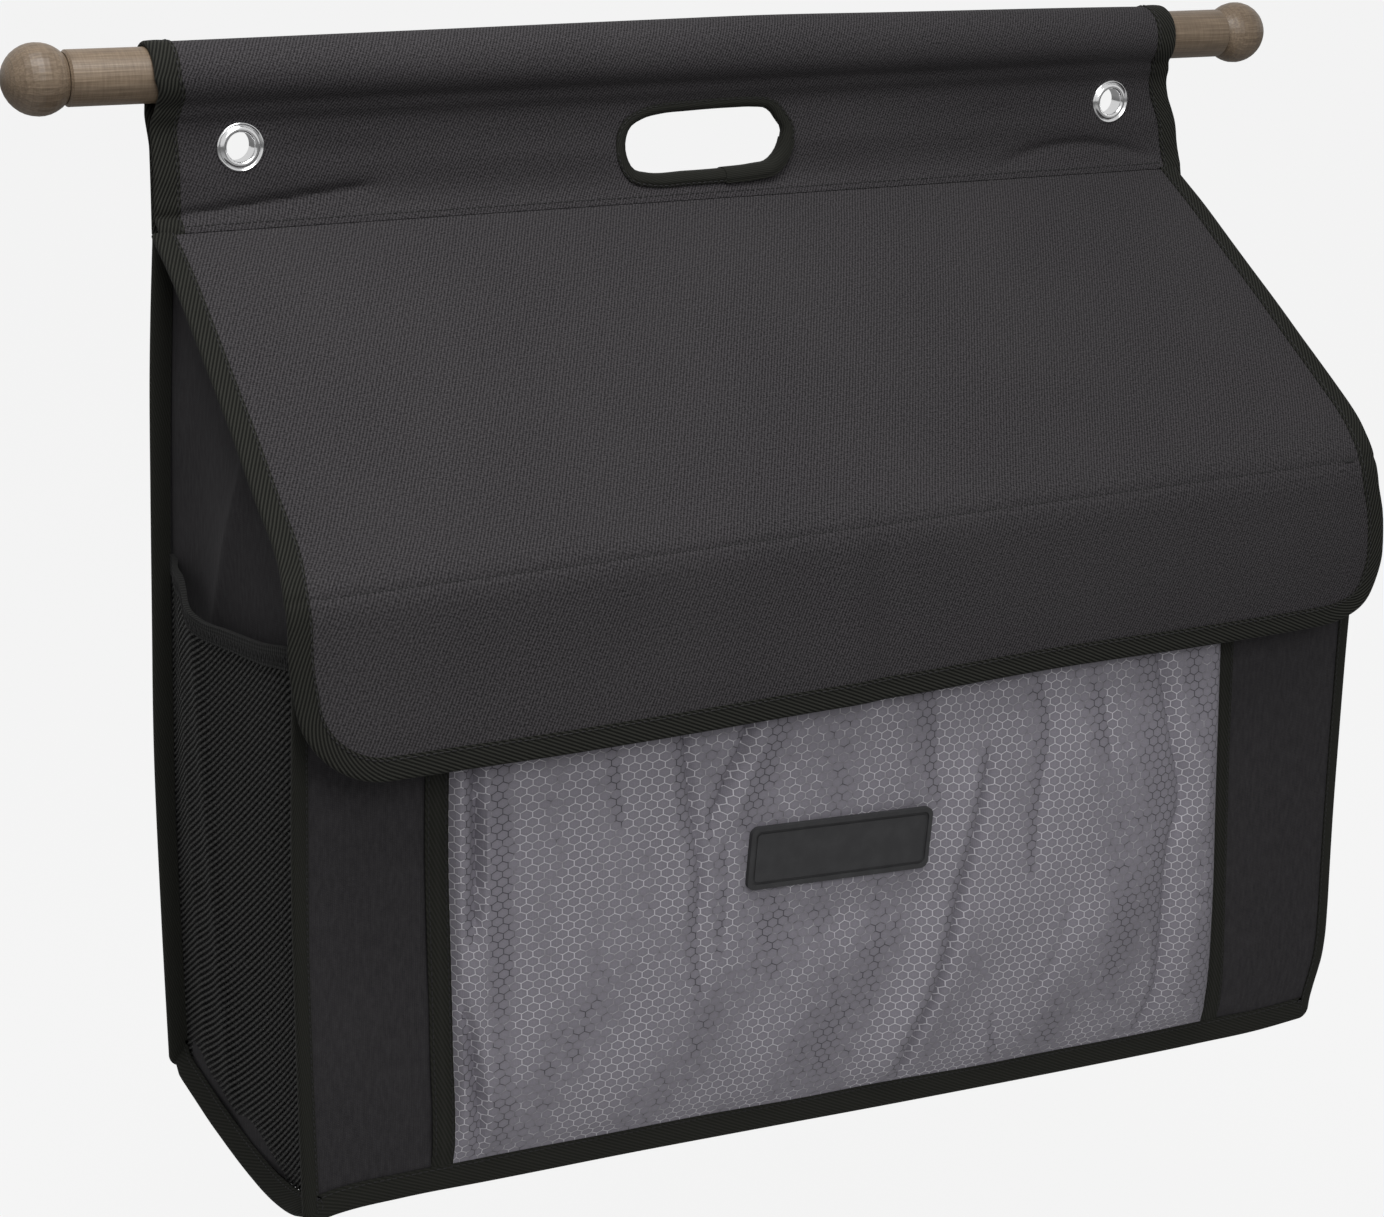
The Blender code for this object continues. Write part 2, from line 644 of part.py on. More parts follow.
def knuckled_layer(length, layer, stack):
    """A cover layer's end view, as (along, out). Its head is a full round of the whole stack."""
    head = stack / 2
    inner = head - layer
    turn_in = atan2(inner, -sqrt(head ** 2 - inner ** 2))
    round_head = arc((0, 0), head, pi / 2, turn_in - 2 * pi, KNUCKLE_STEPS)
    return [(-length, head)] + round_head + [(-length, inner)]


def make_flap():
    hinge = add_empty("flap_hinge", (0, HINGE_Y, HINGE_Z), (FLAP_ANGLE, 0, 0))
    width = 2 * PANEL_HALF
    fold_end = FLAP_LENGTH - DROP_STACK / 2 - GAP
    stand = (pi / 2, 0, pi / 2)
    cover = [knuckled_layer(fold_end, LAYER, FLAP_STACK)]
    plate("flap_cover", cover, width, TWILL, (0, 0, 0), stand, hinge)

    inner_start = FLAP_STACK
    board_half = PANEL_HALF - SIDE_TAPE_WIDTH
    board_end = -fold_end + BOARD_SET_BACK
    board = rectangle(-board_half, board_half, board_end, -inner_start)
    plate("flap_board", [board], BOARD, PLASTIC, (0, 0, 0), (0, 0, 0), hinge)
    lining = rectangle(-PANEL_HALF, PANEL_HALF, -fold_end, -inner_start)
    drop_in = -(FLAP_STACK - LAYER) / 2
    plate("flap_lining", [lining], LAYER, LINING, (0, 0, drop_in), (0, 0, 0), hinge)
    wrap = wrap_profile(FLAP_STACK, FLAP_TAPE_WIDTH - TAPE - GAP)
    for side, hand in (("left", -1), ("right", 1)):
        ends = [(hand * PANEL_HALF, -FLAP_TAPE_START), (hand * PANEL_HALF, board_end)]
        path = ends if hand < 0 else list(reversed(ends))
        swept("flap_binding_" + side, path, wrap, BINDING, (0, 0, 0), (0, 0, 0), hinge)
    make_drop(hinge)


def drop_outline(top):
    """The hanging front of the flap with its two rounded corners, drawn flat."""
    radius = DROP_CORNER_RADIUS
    x = PANEL_HALF - radius
    y = -DROP_LENGTH + radius
    left = arc((-x, y), radius, pi, 3 * pi / 2, DROP_CORNER_STEPS)
    right = arc((x, y), radius, -pi / 2, 0, DROP_CORNER_STEPS)
    return [(-PANEL_HALF, top)] + left + right + [(PANEL_HALF, top)]


def make_drop(hinge):
    turn = (DROP_ANGLE - FLAP_ANGLE, 0, 0)
    fold = add_empty("drop_fold", (0, -FLAP_LENGTH, 0), turn, hinge)
    width = 2 * PANEL_HALF
    layer = [knuckled_layer(DROP_LENGTH, LAYER, DROP_STACK)]
    cover = made_mesh(plate("drop_cover", layer, width, TWILL, (0, 0, 0), (pi / 2, 0, pi / 2), fold))
    corner_x = PANEL_HALF - DROP_CORNER_RADIUS
    corner_y = -DROP_LENGTH + DROP_CORNER_RADIUS
    for side, hand in (("left", -1), ("right", 1)):
        start = pi if hand < 0 else 0
        stop = 3 * pi / 2 if hand < 0 else -pi / 2
        centre = (hand * corner_x, corner_y)
        rounded = arc(centre, DROP_CORNER_RADIUS, start, stop, DROP_CORNER_STEPS)
        far = (hand * (PANEL_HALF + CUT_MARGIN), -DROP_LENGTH - CUT_MARGIN)
        beside = (far[0], corner_y)
        beneath = (hand * corner_x, far[1])
        waste = [beside] + rounded + [beneath, far]
        knife = plate("drop_corner_" + side, [waste], 4 * DROP_STACK, None, (0, 0, 0), (0, 0, 0), fold)
        cut(cover, as_cutter(made_mesh(knife)))

    under = -(DROP_STACK - LAYER) / 2
    lining = drop_outline(-1.5 * DROP_STACK)
    plate("drop_lining", [lining], LAYER, LINING, (0, 0, under), (0, 0, 0), fold)
    wrap = wrap_profile(DROP_STACK, FLAP_TAPE_WIDTH - TAPE - GAP)
    path = drop_outline(-BINDING_SET_BACK)
    swept("drop_binding", path, wrap, BINDING, (0, 0, 0), (0, 0, 0), fold)


make_pole()
make_finial("left", POLE_LEFT, -1)
make_finial("right", POLE_RIGHT, 1)
make_header()
make_eyelet("left", -EYELET_X)
make_eyelet("right", EYELET_X)
make_walls()
make_side_pockets()
make_front_pocket()
make_flap()
bpy.context.view_layer.update()
print("sub-parts:", len([item for item in BAG.objects if item.type != "EMPTY"]))
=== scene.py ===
# %% [markdown]
# # A soft grooming bag on a wooden pole
#
# This lesson builds the looks of a hanging cloth bag around its packed CAD model. The CAD holds the true
# sizes, the bodies and the joints. Blender makes the cloth, the tapes, the threads and the finishes that a
# person sees. The first step loads the CAD as a fixed frame.

# %% Load the packed frame
import json
from math import cos, pi, radians, sin, sqrt

import bpy
import numpy as np
from mathutils import Matrix, Vector


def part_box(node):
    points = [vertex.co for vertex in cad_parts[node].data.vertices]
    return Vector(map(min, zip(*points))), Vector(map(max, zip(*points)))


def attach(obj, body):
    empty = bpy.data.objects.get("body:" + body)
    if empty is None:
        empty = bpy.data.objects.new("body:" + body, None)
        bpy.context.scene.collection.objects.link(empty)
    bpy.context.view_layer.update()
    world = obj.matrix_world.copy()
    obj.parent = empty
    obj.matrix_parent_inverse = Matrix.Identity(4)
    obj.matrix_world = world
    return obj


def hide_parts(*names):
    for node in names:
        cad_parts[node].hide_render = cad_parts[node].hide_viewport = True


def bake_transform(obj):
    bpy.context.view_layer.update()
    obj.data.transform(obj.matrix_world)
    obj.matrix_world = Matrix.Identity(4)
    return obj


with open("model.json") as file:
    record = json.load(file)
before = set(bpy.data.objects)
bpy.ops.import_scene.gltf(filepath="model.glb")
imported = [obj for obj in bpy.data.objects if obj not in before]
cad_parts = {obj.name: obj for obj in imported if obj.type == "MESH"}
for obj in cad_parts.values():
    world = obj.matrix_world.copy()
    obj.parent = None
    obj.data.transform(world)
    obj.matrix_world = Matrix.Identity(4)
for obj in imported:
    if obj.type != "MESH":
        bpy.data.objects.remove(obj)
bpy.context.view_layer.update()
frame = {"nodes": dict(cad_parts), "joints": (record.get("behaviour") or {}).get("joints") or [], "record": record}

# %% [markdown]
# ## The camera
#
# A product photograph has one fixed eye. Its place was worked out from the corners of the bag in the
# picture: thirty degrees to the left of the front, eighteen above it and a little tilted. A camera could be
# aimed with a Track To constraint, but a matrix says the tilt as well. Its three columns are where right,
# up and back point.

# %% Place the camera
MM = 0.001
PHOTO_WIDTH = 1384  # the photograph's width, in its own pixels
FOCAL_LENGTH = 2905.53  # how far the eye is from the picture, in the same pixels
SENSOR = 36  # the width of a full-frame sensor, in millimetres
azimuth, elevation, roll = radians(-29.66), radians(17.91), radians(1.83)
target, distance = Vector((0.00132, 0, -0.29813)), 1.57446

back = Vector((sin(azimuth) * cos(elevation), -cos(azimuth) * cos(elevation), sin(elevation)))
level = Vector((cos(azimuth), sin(azimuth), 0))
upright = back.cross(level)
right = level * cos(roll) + upright * sin(roll)
up = upright * cos(roll) - level * sin(roll)


def put(name, data):
    """A new object in the scene."""
    thing = bpy.data.objects.new(name, data)
    bpy.context.collection.objects.link(thing)
    return thing


camera = put("camera", bpy.data.cameras.new("camera"))
turned = Matrix((right, up, back)).transposed().to_4x4()
camera.matrix_world = Matrix.Translation(target + back * distance) @ turned
camera.data.sensor_width, camera.data.sensor_fit = SENSOR, "HORIZONTAL"
camera.data.lens = SENSOR * FOCAL_LENGTH / PHOTO_WIDTH
bpy.context.scene.camera = camera
print("lens", round(camera.data.lens, 2), "mm, eye at", [round(v, 3) for v in camera.location])

# %% [markdown]
# ## Sums on sockets
#
# A shader graph is arithmetic, and arithmetic reads best as an expression. The class below wraps one output
# socket. Adding or multiplying two of them adds a Math node and gives back its output, so `1 - mask` builds
# a graph. Math nodes turn a colour grey, so colours are mixed by their own method. Every other node comes
# from `add`, which takes the node's type, its settings and what goes into its sockets.

# %% A socket that can be added and multiplied


class Signal:
    """One output socket of a material's node tree."""

    def __init__(self, tree, socket=None):
        self.tree, self.socket = tree, socket

    def add(self, kind, settings=None, sockets=None, output=0):
        """A new node of any type. Settings go first, because some of them change which sockets there are."""
        node = self.tree.nodes.new(kind)
        for name, value in (settings or {}).items():
            if name == "stops":
                while len(node.color_ramp.elements) < len(value):
                    node.color_ramp.elements.new(0.5)
                for element, (place, colour) in zip(node.color_ramp.elements, value):
                    element.position, element.color = place, (*colour, 1)
            else:
                setattr(node, name, value)
        for name, value in (sockets or {}).items():
            if isinstance(value, Signal):
                self.tree.links.new(value.socket, node.inputs[name])
            else:
                node.inputs[name].default_value = value
        return Signal(self.tree, node.outputs[output])

    def math(self, operation, *others):
        return self.add("ShaderNodeMath", {"operation": operation}, dict(enumerate((self, *others))))

    def __add__(self, other):
        return self.math("ADD", other)

    __radd__ = __add__

    def __sub__(self, other):
        return self.math("SUBTRACT", other)

    def __rsub__(self, other):
        return self.add("ShaderNodeMath", {"operation": "SUBTRACT"}, {0: other, 1: self})

    def __mul__(self, other):
        return self.math("MULTIPLY", other)

    __rmul__ = __mul__

    def __truediv__(self, other):
        return self.math("DIVIDE", other)

    def __abs__(self):
        return self.math("ABSOLUTE")

    def fade(self, low, high):
        """0 below low, 1 above high, and a soft step between them."""
        settings = {"interpolation_type": "SMOOTHSTEP"}
        return self.add("ShaderNodeMapRange", settings, {0: self, 1: low, 2: high, 3: 0, 4: 1})

    def wave(self, length):
        """A cosine of this wavelength, from 0 to 1."""
        return (self * (2 * pi / length)).math("COSINE") * 0.5 + 0.5

    def mix(self, first, second):
        """Two colours mixed by this signal."""
        settings = {"data_type": "RGBA"}
        colours = {6: first, 7: second}
        colours = {k: v if isinstance(v, Signal) else (*v, 1) for k, v in colours.items()}
        return self.add("ShaderNodeMix", settings, {0: self, **colours}, output=2)

    def parts(self):
        """The x, y and z of a vector."""
        split = self.add("ShaderNodeSeparateXYZ", {}, {0: self})
        return [Signal(self.tree, socket) for socket in split.socket.node.outputs]

    def stretched(self, x, y, z):
        """A vector times three numbers."""
        return self.add("ShaderNodeVectorMath", {"operation": "MULTIPLY"}, {0: self, 1: (x, y, z)})

    def noise(self, scale, detail=2, roughness=0.5):
        """Cloudy noise from 0 to 1 at these coordinates."""
        sockets = {"Vector": self, "Scale": scale, "Detail": detail, "Roughness": roughness}
        return self.add("ShaderNodeTexNoise", {"noise_dimensions": "3D"}, sockets)

    def cloth(self):
        """Where a point lies on the flat, uncut cloth, in millimetres."""
        return self.add("ShaderNodeUVMap", {"uv_map": "cloth"}).stretched(1000, 1000, 0)

    def place(self):
        """Where a point is on the object at rest, in millimetres."""
        return self.add("ShaderNodeTexCoord", output=3).stretched(1000, 1000, 1000)


print("a signal can", ", ".join(name for name in vars(Signal) if not name.startswith("__")))

# %% [markdown]
# ## A finish
#
# A material could be clicked together in the Shader Editor. Here each one is a function that gets an empty
# signal and gives back what changes over the surface, by the names of the Principled BSDF's sockets. What
# stays the same all over, such as the sheen of fibre, is a plain number beside it. A height becomes a bump
# in the normal.

# %% Make a material from a function


def finish(name, build, bump=0.0, **constants):
    """A material. build gives the sockets that change over the surface; the rest are plain numbers."""
    material = bpy.data.materials.new(name)
    material.use_nodes = True
    tree = material.node_tree
    shader = tree.nodes["Principled BSDF"]
    for socket, value in constants.items():
        shader.inputs[socket.replace("_", " ")].default_value = value
    looks = build(Signal(tree))
    if "height" in looks:
        height = {"Strength": 1, "Distance": bump * MM, "Height": looks.pop("height")}
        looks["Normal"] = Signal(tree).add("ShaderNodeBump", {}, height)
    for socket, signal in looks.items():
        tree.links.new(signal.socket, shader.inputs[socket])
    print(name, "has", len(tree.nodes), "nodes")
    return material


# %% [markdown]
# ## Woven cloths
#
# The flap and header are a charcoal twill: its threads step sideways row by row, so fine ribs run
# diagonally. A picture of cloth could be wrapped round it, but two waves at an angle make the same ribs at
# any distance. They are drawn on the flat cloth's own millimetres, so that they follow every fold. Dust and
# handling make slow, faint patches, and a soft sheen stands for the fuzz of fibre ends, which catch light
# at grazing angles.

# %% Twill, lining cloth and thread


def twill(start):
    cloth = start.cloth()
    u, v, _ = cloth.parts()
    wale = (u * 0.89 - v * 0.45).wave(1.5)
    steps = (u * 0.35 + v * 0.94).wave(1.3)
    fleck = cloth.noise(0.85, 3, 0.8).fade(0.3, 0.7)
    patches = cloth.noise(0.010, 2).fade(0.2, 0.8)
    thread = (wale * 0.36 + steps * 0.14 + fleck * 0.5).fade(0.1, 0.9)
    colour = thread.mix((0.0125, 0.0117, 0.0128), (0.079, 0.074, 0.0785))
    worn = (patches * 0.08).mix(colour, (0.09, 0.0845, 0.085))
    return {"Base Color": worn, "Roughness": 0.96 - patches * 0.1, "height": wale * 0.6 + steps * 0.3}


def plain_cloth(start):
    cloth = start.cloth()
    u, v, _ = cloth.parts()
    weave = u.wave(0.9) * v.wave(0.9)
    slubs = cloth.stretched(0.5, 0.12, 1).noise(1, 3, 0.6).fade(0.25, 0.8)
    fleck = cloth.noise(0.6, 2, 0.7)
    patches = cloth.noise(0.018, 2).fade(0.35, 0.7)
    tone = weave * 0.3 + slubs * 0.3 + fleck * 0.4
    colour = tone.mix((0.022, 0.0209, 0.0231), (0.069, 0.0655, 0.069))
    return {"Base Color": (patches * 0.08).mix(colour, (0.075, 0.071, 0.074)),
            "Roughness": 0.88 - slubs * 0.1, "height": weave + slubs * 0.3}


def thread_look(start):
    ply = start.place().noise(2.2, 2)
    return {"Base Color": ply.mix((0.009, 0.009, 0.009), (0.040, 0.039, 0.040)),
            "Roughness": 0.5 + ply * 0.25}


FINISH = {
    "charcoal_twill": finish("charcoal_twill", twill, bump=0.14, Sheen_Weight=0.05, Sheen_Roughness=0.45,
                             Specular_IOR_Level=0.08),
    "plain_lining": finish("plain_lining", plain_cloth, bump=0.06, Sheen_Weight=0.03, Sheen_Roughness=0.4,
                           Specular_IOR_Level=0.08),
}
sewing_thread = finish("sewing_thread", thread_look, Specular_IOR_Level=0.2)

# %% [markdown]
# ## Tape, elastic and net
#
# Bag makers bind raw edges with a folded tape whose ribs lean to one side, and the fold rubs pale first. On
# the tape the second coordinate is the distance from that fold, so wear is one fade of it. The elastic has
# ribs straight across. The net is two sets of knitted strands, and between them the cloth is truly open:
# the strands go into Alpha, because a painted hole would not show the wall behind it.

# %% Tape, elastic and net


def ribbed_tape(start, ribs=1.0):
    """A tape whose ribs show fully at 1 and are worn away at 0."""
    cloth = start.cloth()
    u, v, _ = cloth.parts()
    rib = (v * 0.91 - u * 0.41).wave(1.65)
    fibre = cloth.noise(1.3, 3, 0.7)
    fold = 1 - abs(v).fade(0.3, 1.8)
    # Painted shade: the tape's colour is made darker where it faces up, by its normal.
    painted_shade_up = start.add("ShaderNodeTexCoord", output=1).parts()[2].fade(0.02, 0.24)
    tone = (rib.fade(0.2, 0.9) * ribs + 0.45 * (1 - ribs)) * (0.44 - painted_shade_up * 0.12) + fibre * 0.16
    colour = tone.mix((0.0030, 0.0031, 0.0027), (0.076, 0.077, 0.065))
    return {"Base Color": (fold * 0.15).mix(colour, (0.04, 0.039, 0.036)), "Roughness": 0.9 - rib * 0.15,
            "height": rib + fibre * 0.3}


def ribbed_elastic(start):
    u, v, _ = start.cloth().parts()
    rib = u.wave(1.9)
    rows = v.wave(1.8)
    colour = (rib * 0.6 + rows * 0.25).mix((0.004, 0.004, 0.004), (0.040, 0.040, 0.039))
    return {"Base Color": colour, "Roughness": 0.85 - rows * 0.15, "height": rib + rows * 0.5}


def knitted_net(start):
    cloth = start.cloth()
    u, v, _ = cloth.parts()
    rising = (u * 0.592 - v * 0.805).wave(2.66)
    rows = v.wave(3.48)
    falling = (u * 0.80 + v * 0.60).wave(3.1)
    fibre = cloth.noise(1.2, 2, 0.7)
    strand = (rising * 0.72 + rows * 0.28).fade(0.38, 0.50).math("MAXIMUM", falling.fade(0.70, 0.84))
    tone = rising.fade(0.3, 1) * (0.45 + rows * 0.4) + fibre * 0.25 - 0.1
    colour = tone.mix((0.001, 0.001, 0.001), (0.10, 0.10, 0.097))
    return {"Base Color": colour, "Roughness": 0.9 - rising * 0.2, "Alpha": strand,
            "height": rising + falling * 0.4}


FINISH["binding_tape"] = finish("binding_tape", ribbed_tape, bump=0.2, Sheen_Weight=0.03, Sheen_Roughness=0.4,
                                Specular_IOR_Level=0.1)
seam_tape = finish("seam_tape", lambda start: ribbed_tape(start, 0.3), bump=0.08, Sheen_Weight=0.03,
                   Sheen_Roughness=0.4, Specular_IOR_Level=0.1)
FINISH["elastic_band"] = finish("elastic_band", ribbed_elastic, bump=0.2, Sheen_Weight=0.03,
                                Specular_IOR_Level=0.1)
FINISH["pocket_net"] = finish("pocket_net", knitted_net, bump=0.3, Sheen_Weight=0.02,
                              Specular_IOR_Level=0.1)

# %% [markdown]
# ## Honeycomb ripstop
#
# The front pocket is a thin grey cloth with thicker threads laid in as flat honeycombs, to stop a tear from
# running. A Voronoi texture gives uneven cells, so the comb is worked out: every point belongs to the
# nearer of two lattices of cell centres, and the line runs where the distance to both is the same. The
# laid-in threads are glossier than the ground, and their colour is painted: a painted highlight where the
# cloth turns to the light and painted shade where it turns away. The normal says which.

# %% Honeycomb ripstop
COMB_WIDTH = 6.0  # from one cell to the next along a row, in millimetres
COMB_ROW = 4.12  # from one row to the next
REGULAR_ROW = sqrt(3) / 2  # the same, for regular cells that are 1 wide


def honeycomb(cloth):
    """How far out of its cell a point is: 0 at the cell's middle and 0.5 on its edge."""
    u, v, _ = cloth.parts()
    u, v = u / COMB_WIDTH, v * (REGULAR_ROW / COMB_ROW)
    offsets = []
    for shift in (0, 0.5):
        x = (u + shift).math("FRACT") - 0.5
        y = (v / (2 * REGULAR_ROW) + shift).math("FRACT") * (2 * REGULAR_ROW) - REGULAR_ROW
        offsets.append(abs(x).math("MAXIMUM", abs(x) * 0.5 + abs(y) * REGULAR_ROW))
    return offsets[0].math("MINIMUM", offsets[1])


def ripstop(start):
    cloth = start.cloth()
    u, v, _ = cloth.parts()
    edge = honeycomb(cloth)
    line = edge.fade(0.445, 0.48)
    weave = u.wave(0.8) * v.wave(0.8)
    cell = 1 - edge.fade(0.05, 0.42)
    lean_for_painted_gloss = start.add("ShaderNodeTexCoord", output=1).parts()[0]
    patches = cloth.stretched(0.03, 0.012, 1).noise(1, 2)
    every = cloth.noise(0.16, 1)
    streak = cloth.stretched(0.05, 0.009, 1).noise(1, 1)
    # Painted highlight and painted shade: the threads' colour goes pale or dark by which way the cloth faces,
    # broken up by noise.
    turned = (lean_for_painted_gloss + (streak - 0.5) * 0.3 + (every - 0.5) * 0.35).fade(-0.08, 0.12)
    speck = cloth.noise(1.2, 2, 0.7)
    tone = weave * 0.2 + cell * 0.1 + patches * 0.3 + speck * 0.4
    ground = tone.mix((0.190, 0.181, 0.208), (0.385, 0.366, 0.417))
    thread = turned.mix((0.80, 0.78, 0.83), (0.030, 0.028, 0.035))
    return {"Base Color": (line * 0.88).mix(ground, thread), "Roughness": 0.62 - line * 0.2,
            "height": line + weave * 0.35}


FINISH["honeycomb_ripstop"] = finish("honeycomb_ripstop", ripstop, bump=0.10, Sheen_Weight=0.05,
                                     Specular_IOR_Level=0.2)

# %% [markdown]
# ## Wood, metal and rubber
#
# These pieces are hard. The pole, its balls, the screws and the washers keep their CAD solids, which only
# need a finish. The pole is a turned and stained dowel: long streaks of grain run along it, because the
# noise is stretched that way. The eyelets are nickel plate with rub marks. The label is moulded rubber,
# dull and a little dusty.

# %% Wood, metal and rubber


def stained_wood(start):
    place = start.place()
    grain = place.stretched(0.03, 1.3, 1.3).noise(1, 3, 0.55)
    turned = place.stretched(1.4, 0.12, 0.12).noise(1, 2, 0.5)
    stain = place.noise(0.05, 2).fade(0.3, 0.72)
    tone = grain * 0.7 + turned * 0.3
    colour = tone.add("ShaderNodeValToRGB", {"stops": [
        (0.32, (0.125, 0.088, 0.057)), (0.48, (0.190, 0.138, 0.092)), (0.60, (0.245, 0.183, 0.124)),
        (0.74, (0.31, 0.237, 0.163))]}, {0: tone})
    return {"Base Color": (stain * 0.25).mix(colour, (0.10, 0.072, 0.048)),
            "Roughness": 0.36 + grain * 0.2, "height": grain}


def nickel_plate(start):
    place = start.place()
    rub = place.noise(0.9, 4, 0.7)
    scratch = place.stretched(0.4, 6, 6).noise(1, 3, 0.7)
    return {"Base Color": rub.mix((0.80, 0.80, 0.81), (0.95, 0.95, 0.95)),
            "Roughness": 0.06 + scratch * 0.14, "height": scratch}


def zinc_steel(start):
    rub = start.place().noise(0.8, 4, 0.7)
    return {"Base Color": rub.mix((0.42, 0.43, 0.45), (0.62, 0.63, 0.64)),
            "Roughness": 0.3 + rub * 0.25}


def dull_rubber(start):
    place = start.place()
    dust = place.noise(0.12, 3).fade(0.35, 0.75)
    grit = place.noise(4.0, 2, 0.6)
    colour = (dust * 0.25 + grit * 0.25).mix((0.046, 0.046, 0.048), (0.098, 0.098, 0.101))
    return {"Base Color": colour, "Roughness": 0.6 + dust * 0.2, "height": grit}


def board(start):
    fibre = start.place().stretched(0.3, 1, 1).noise(0.5, 4, 0.65)
    return {"Base Color": fibre.mix((0.045, 0.045, 0.047), (0.085, 0.085, 0.088)),
            "Roughness": 0.6 + fibre * 0.25, "height": fibre}


FINISH |= {
    "weathered_wood": finish("weathered_wood", stained_wood, bump=0.04, Specular_IOR_Level=0.4,
                             Coat_Weight=0.2, Coat_Roughness=0.3),
    "nickel": finish("nickel", nickel_plate, bump=0.01, Metallic=1.0),
    "screw_steel": finish("screw_steel", zinc_steel, Metallic=1.0),
    "moulded_rubber": finish("moulded_rubber", dull_rubber, bump=0.03, Specular_IOR_Level=0.15),
    "stiffener": finish("stiffener", board, bump=0.05),
}
slot_of = {part["node"]: part["material_slot"] for part in frame["record"]["subparts"]}
for name, node in frame["nodes"].items():
    node.data.materials.clear()
    node.data.materials.append(FINISH[slot_of[name]])
print("finishes", sorted(FINISH))

# %% [markdown]
# ## How the soft bag hangs
#
# Sewn cloth is never a true box. In the photograph the foot climbs at the left and drops at the right, the
# side walls belly outwards, and the sides of the foot sag between their corners. Each piece could be pushed
# about on its own, but neighbours would part at their seams. One field that moves any point of the bag
# keeps them together. The curve runs smoothly through a few measured points. A sum of a few seeded waves
# gives the small unevenness of worn cloth.

# %% Smooth curves, ripples and the hang of the bag


def soft_step(t):
    t = np.clip(t, 0, 1)
    return t * t * (3 - 2 * t)


def curve(at, xs, ys):
    """A smooth line through the points (xs, ys)."""
    xs, ys = np.asarray(xs, float), np.asarray(ys, float)
    slope = np.gradient(ys, xs)
    i = np.clip(np.searchsorted(xs, at) - 1, 0, len(xs) - 2)
    h = xs[i + 1] - xs[i]
    t = np.clip((at - xs[i]) / h, 0, 1)
    return ((1 + 2 * t) * (1 - t) ** 2 * ys[i] + t * (1 - t) ** 2 * h * slope[i]
            + t * t * (3 - 2 * t) * ys[i + 1] + t * t * (t - 1) * h * slope[i + 1])


RIPPLE_WAVES = 8


def ripple(a, b, seed, height, low, high):
    """A few crossing waves, low to high millimetres long, that are the same in every run."""
    random = np.random.default_rng(seed)
    total = 0
    for _ in range(RIPPLE_WAVES):
        length, angle, phase = random.uniform(low, high), random.uniform(0, pi), random.uniform(0, 2 * pi)
        total = total + np.sin(2 * pi * (a * cos(angle) + b * sin(angle)) / length + phase)
    return height * total / sqrt(RIPPLE_WAVES)


BAG_HALF = 300  # half the bag's width
BAG_DEPTH = 187.8
FOOT = -506


def hang(points):
    """Moves points of the bag's walls to where the soft bag has them."""
    x, y, z = points[..., 0], points[..., 1], points[..., 2]
    # How far the foot rises along its front edge and its back edge, and how far its sides sag between them.
    front = curve(x, [-300, -286, -250, -209, -114, -9, 103, 224, 266, 300],
                  [7.0, 8.8, 8.1, 5.6, 1.1, -4.6, -10.3, -14.9, -15.4, -13.2])
    behind = -1.3 - x / BAG_HALF * 3.7
    share = np.clip(-y / BAG_DEPTH, 0, 1)
    side = np.clip(np.abs(x) / BAG_HALF, 0, 1)
    sag_left = curve(share, [0, 0.06, 0.22, 0.30, 0.38, 0.45, 0.53, 0.61, 0.69, 0.77, 0.85, 0.92, 1],
                     [0.5, 1.8, 6.0, 8.2, 9.7, 10.9, 12.0, 12.6, 12.7, 11.7, 9.2, 5.6, 2.4])
    sag = np.where(x < 0, sag_left, 3.0 * np.sin(pi * share) + 1.5 * share)
    foot = behind + (front - behind) * share ** 1.5 - sag * side ** 6
    # How far the side walls move to the right.
    left = curve(-z, [76, 110, 140, 200, 260, 335, 420, 506], [2.8, 1.0, -0.3, -1.7, -2.7, -3.6, -2.3, 0])
    right_side = curve(-z, [200, 300, 345, 390, 424, 442, 463, 472, 480, 488, 497, 506],
                       [1, 0.9, 2.3, 4.1, 6.1, 7.2, 7.6, 6.8, 5.0, 2.9, 1.0, 0.4])
    moved = points.copy()
    moved[..., 0] += np.where(x < 0, left, right_side) * side ** 3
    moved[..., 2] += foot * soft_step((-z - 240) / 240)
    return moved


corners = np.array([[-BAG_HALF, -BAG_DEPTH, FOOT], [BAG_HALF, -BAG_DEPTH, FOOT]])
print("foot corners", hang(corners).round(1).tolist())

# %% [markdown]
# ## Sheets with a real thickness
#
# A cloth is a thin solid: an outer face, an inner face and a rim. The Solidify modifier could thicken a
# plane, but writing both faces from one grid of points also gives every corner its place on the flat cloth,
# which the weave needs. Rows run down the sheet and columns along it, so that the outer face looks
# outwards.

# %% Lengths and directions


def run_along(points):
    """How far each point is from the first, along the line through them."""
    return np.concatenate([[0], np.cumsum(np.linalg.norm(np.diff(points, axis=0), axis=1))])


def lengths_along(grid, axis):
    """How far each row or column is from the first, along the cloth."""
    step = np.linalg.norm(np.diff(grid, axis=axis), axis=2).mean(axis=1 - axis)
    return np.concatenate([[0], np.cumsum(step)])


def unit(vectors):
    """The same directions, each 1 long."""
    return vectors / np.linalg.norm(vectors, axis=-1, keepdims=True)


def same(direction, count):
    """One direction, repeated for every point of a path."""
    return np.tile(np.array(direction, float), (count, 1))


def grid_normals(grid):
    """The way out of the cloth at each point of a grid."""
    return unit(np.cross(np.gradient(grid, axis=0), np.gradient(grid, axis=1)))


def grid_of(rows, columns, place):
    """The points that place(row value, column value) gives, as a grid."""
    down, along = np.meshgrid(rows, columns, indexing="ij")
    return np.stack(np.broadcast_arrays(*place(down, along)), axis=2).astype(float)


def size_of(grid):
    """The size of a grid's box, for printing."""
    return np.ptp(grid.reshape(-1, 3), axis=0).round(1).tolist()


test = grid_of([0, 1], [0, 3], lambda down, along: (along, 0 * down, -down))
print("a sheet that faces the front has the normal", grid_normals(test)[0, 0].tolist())

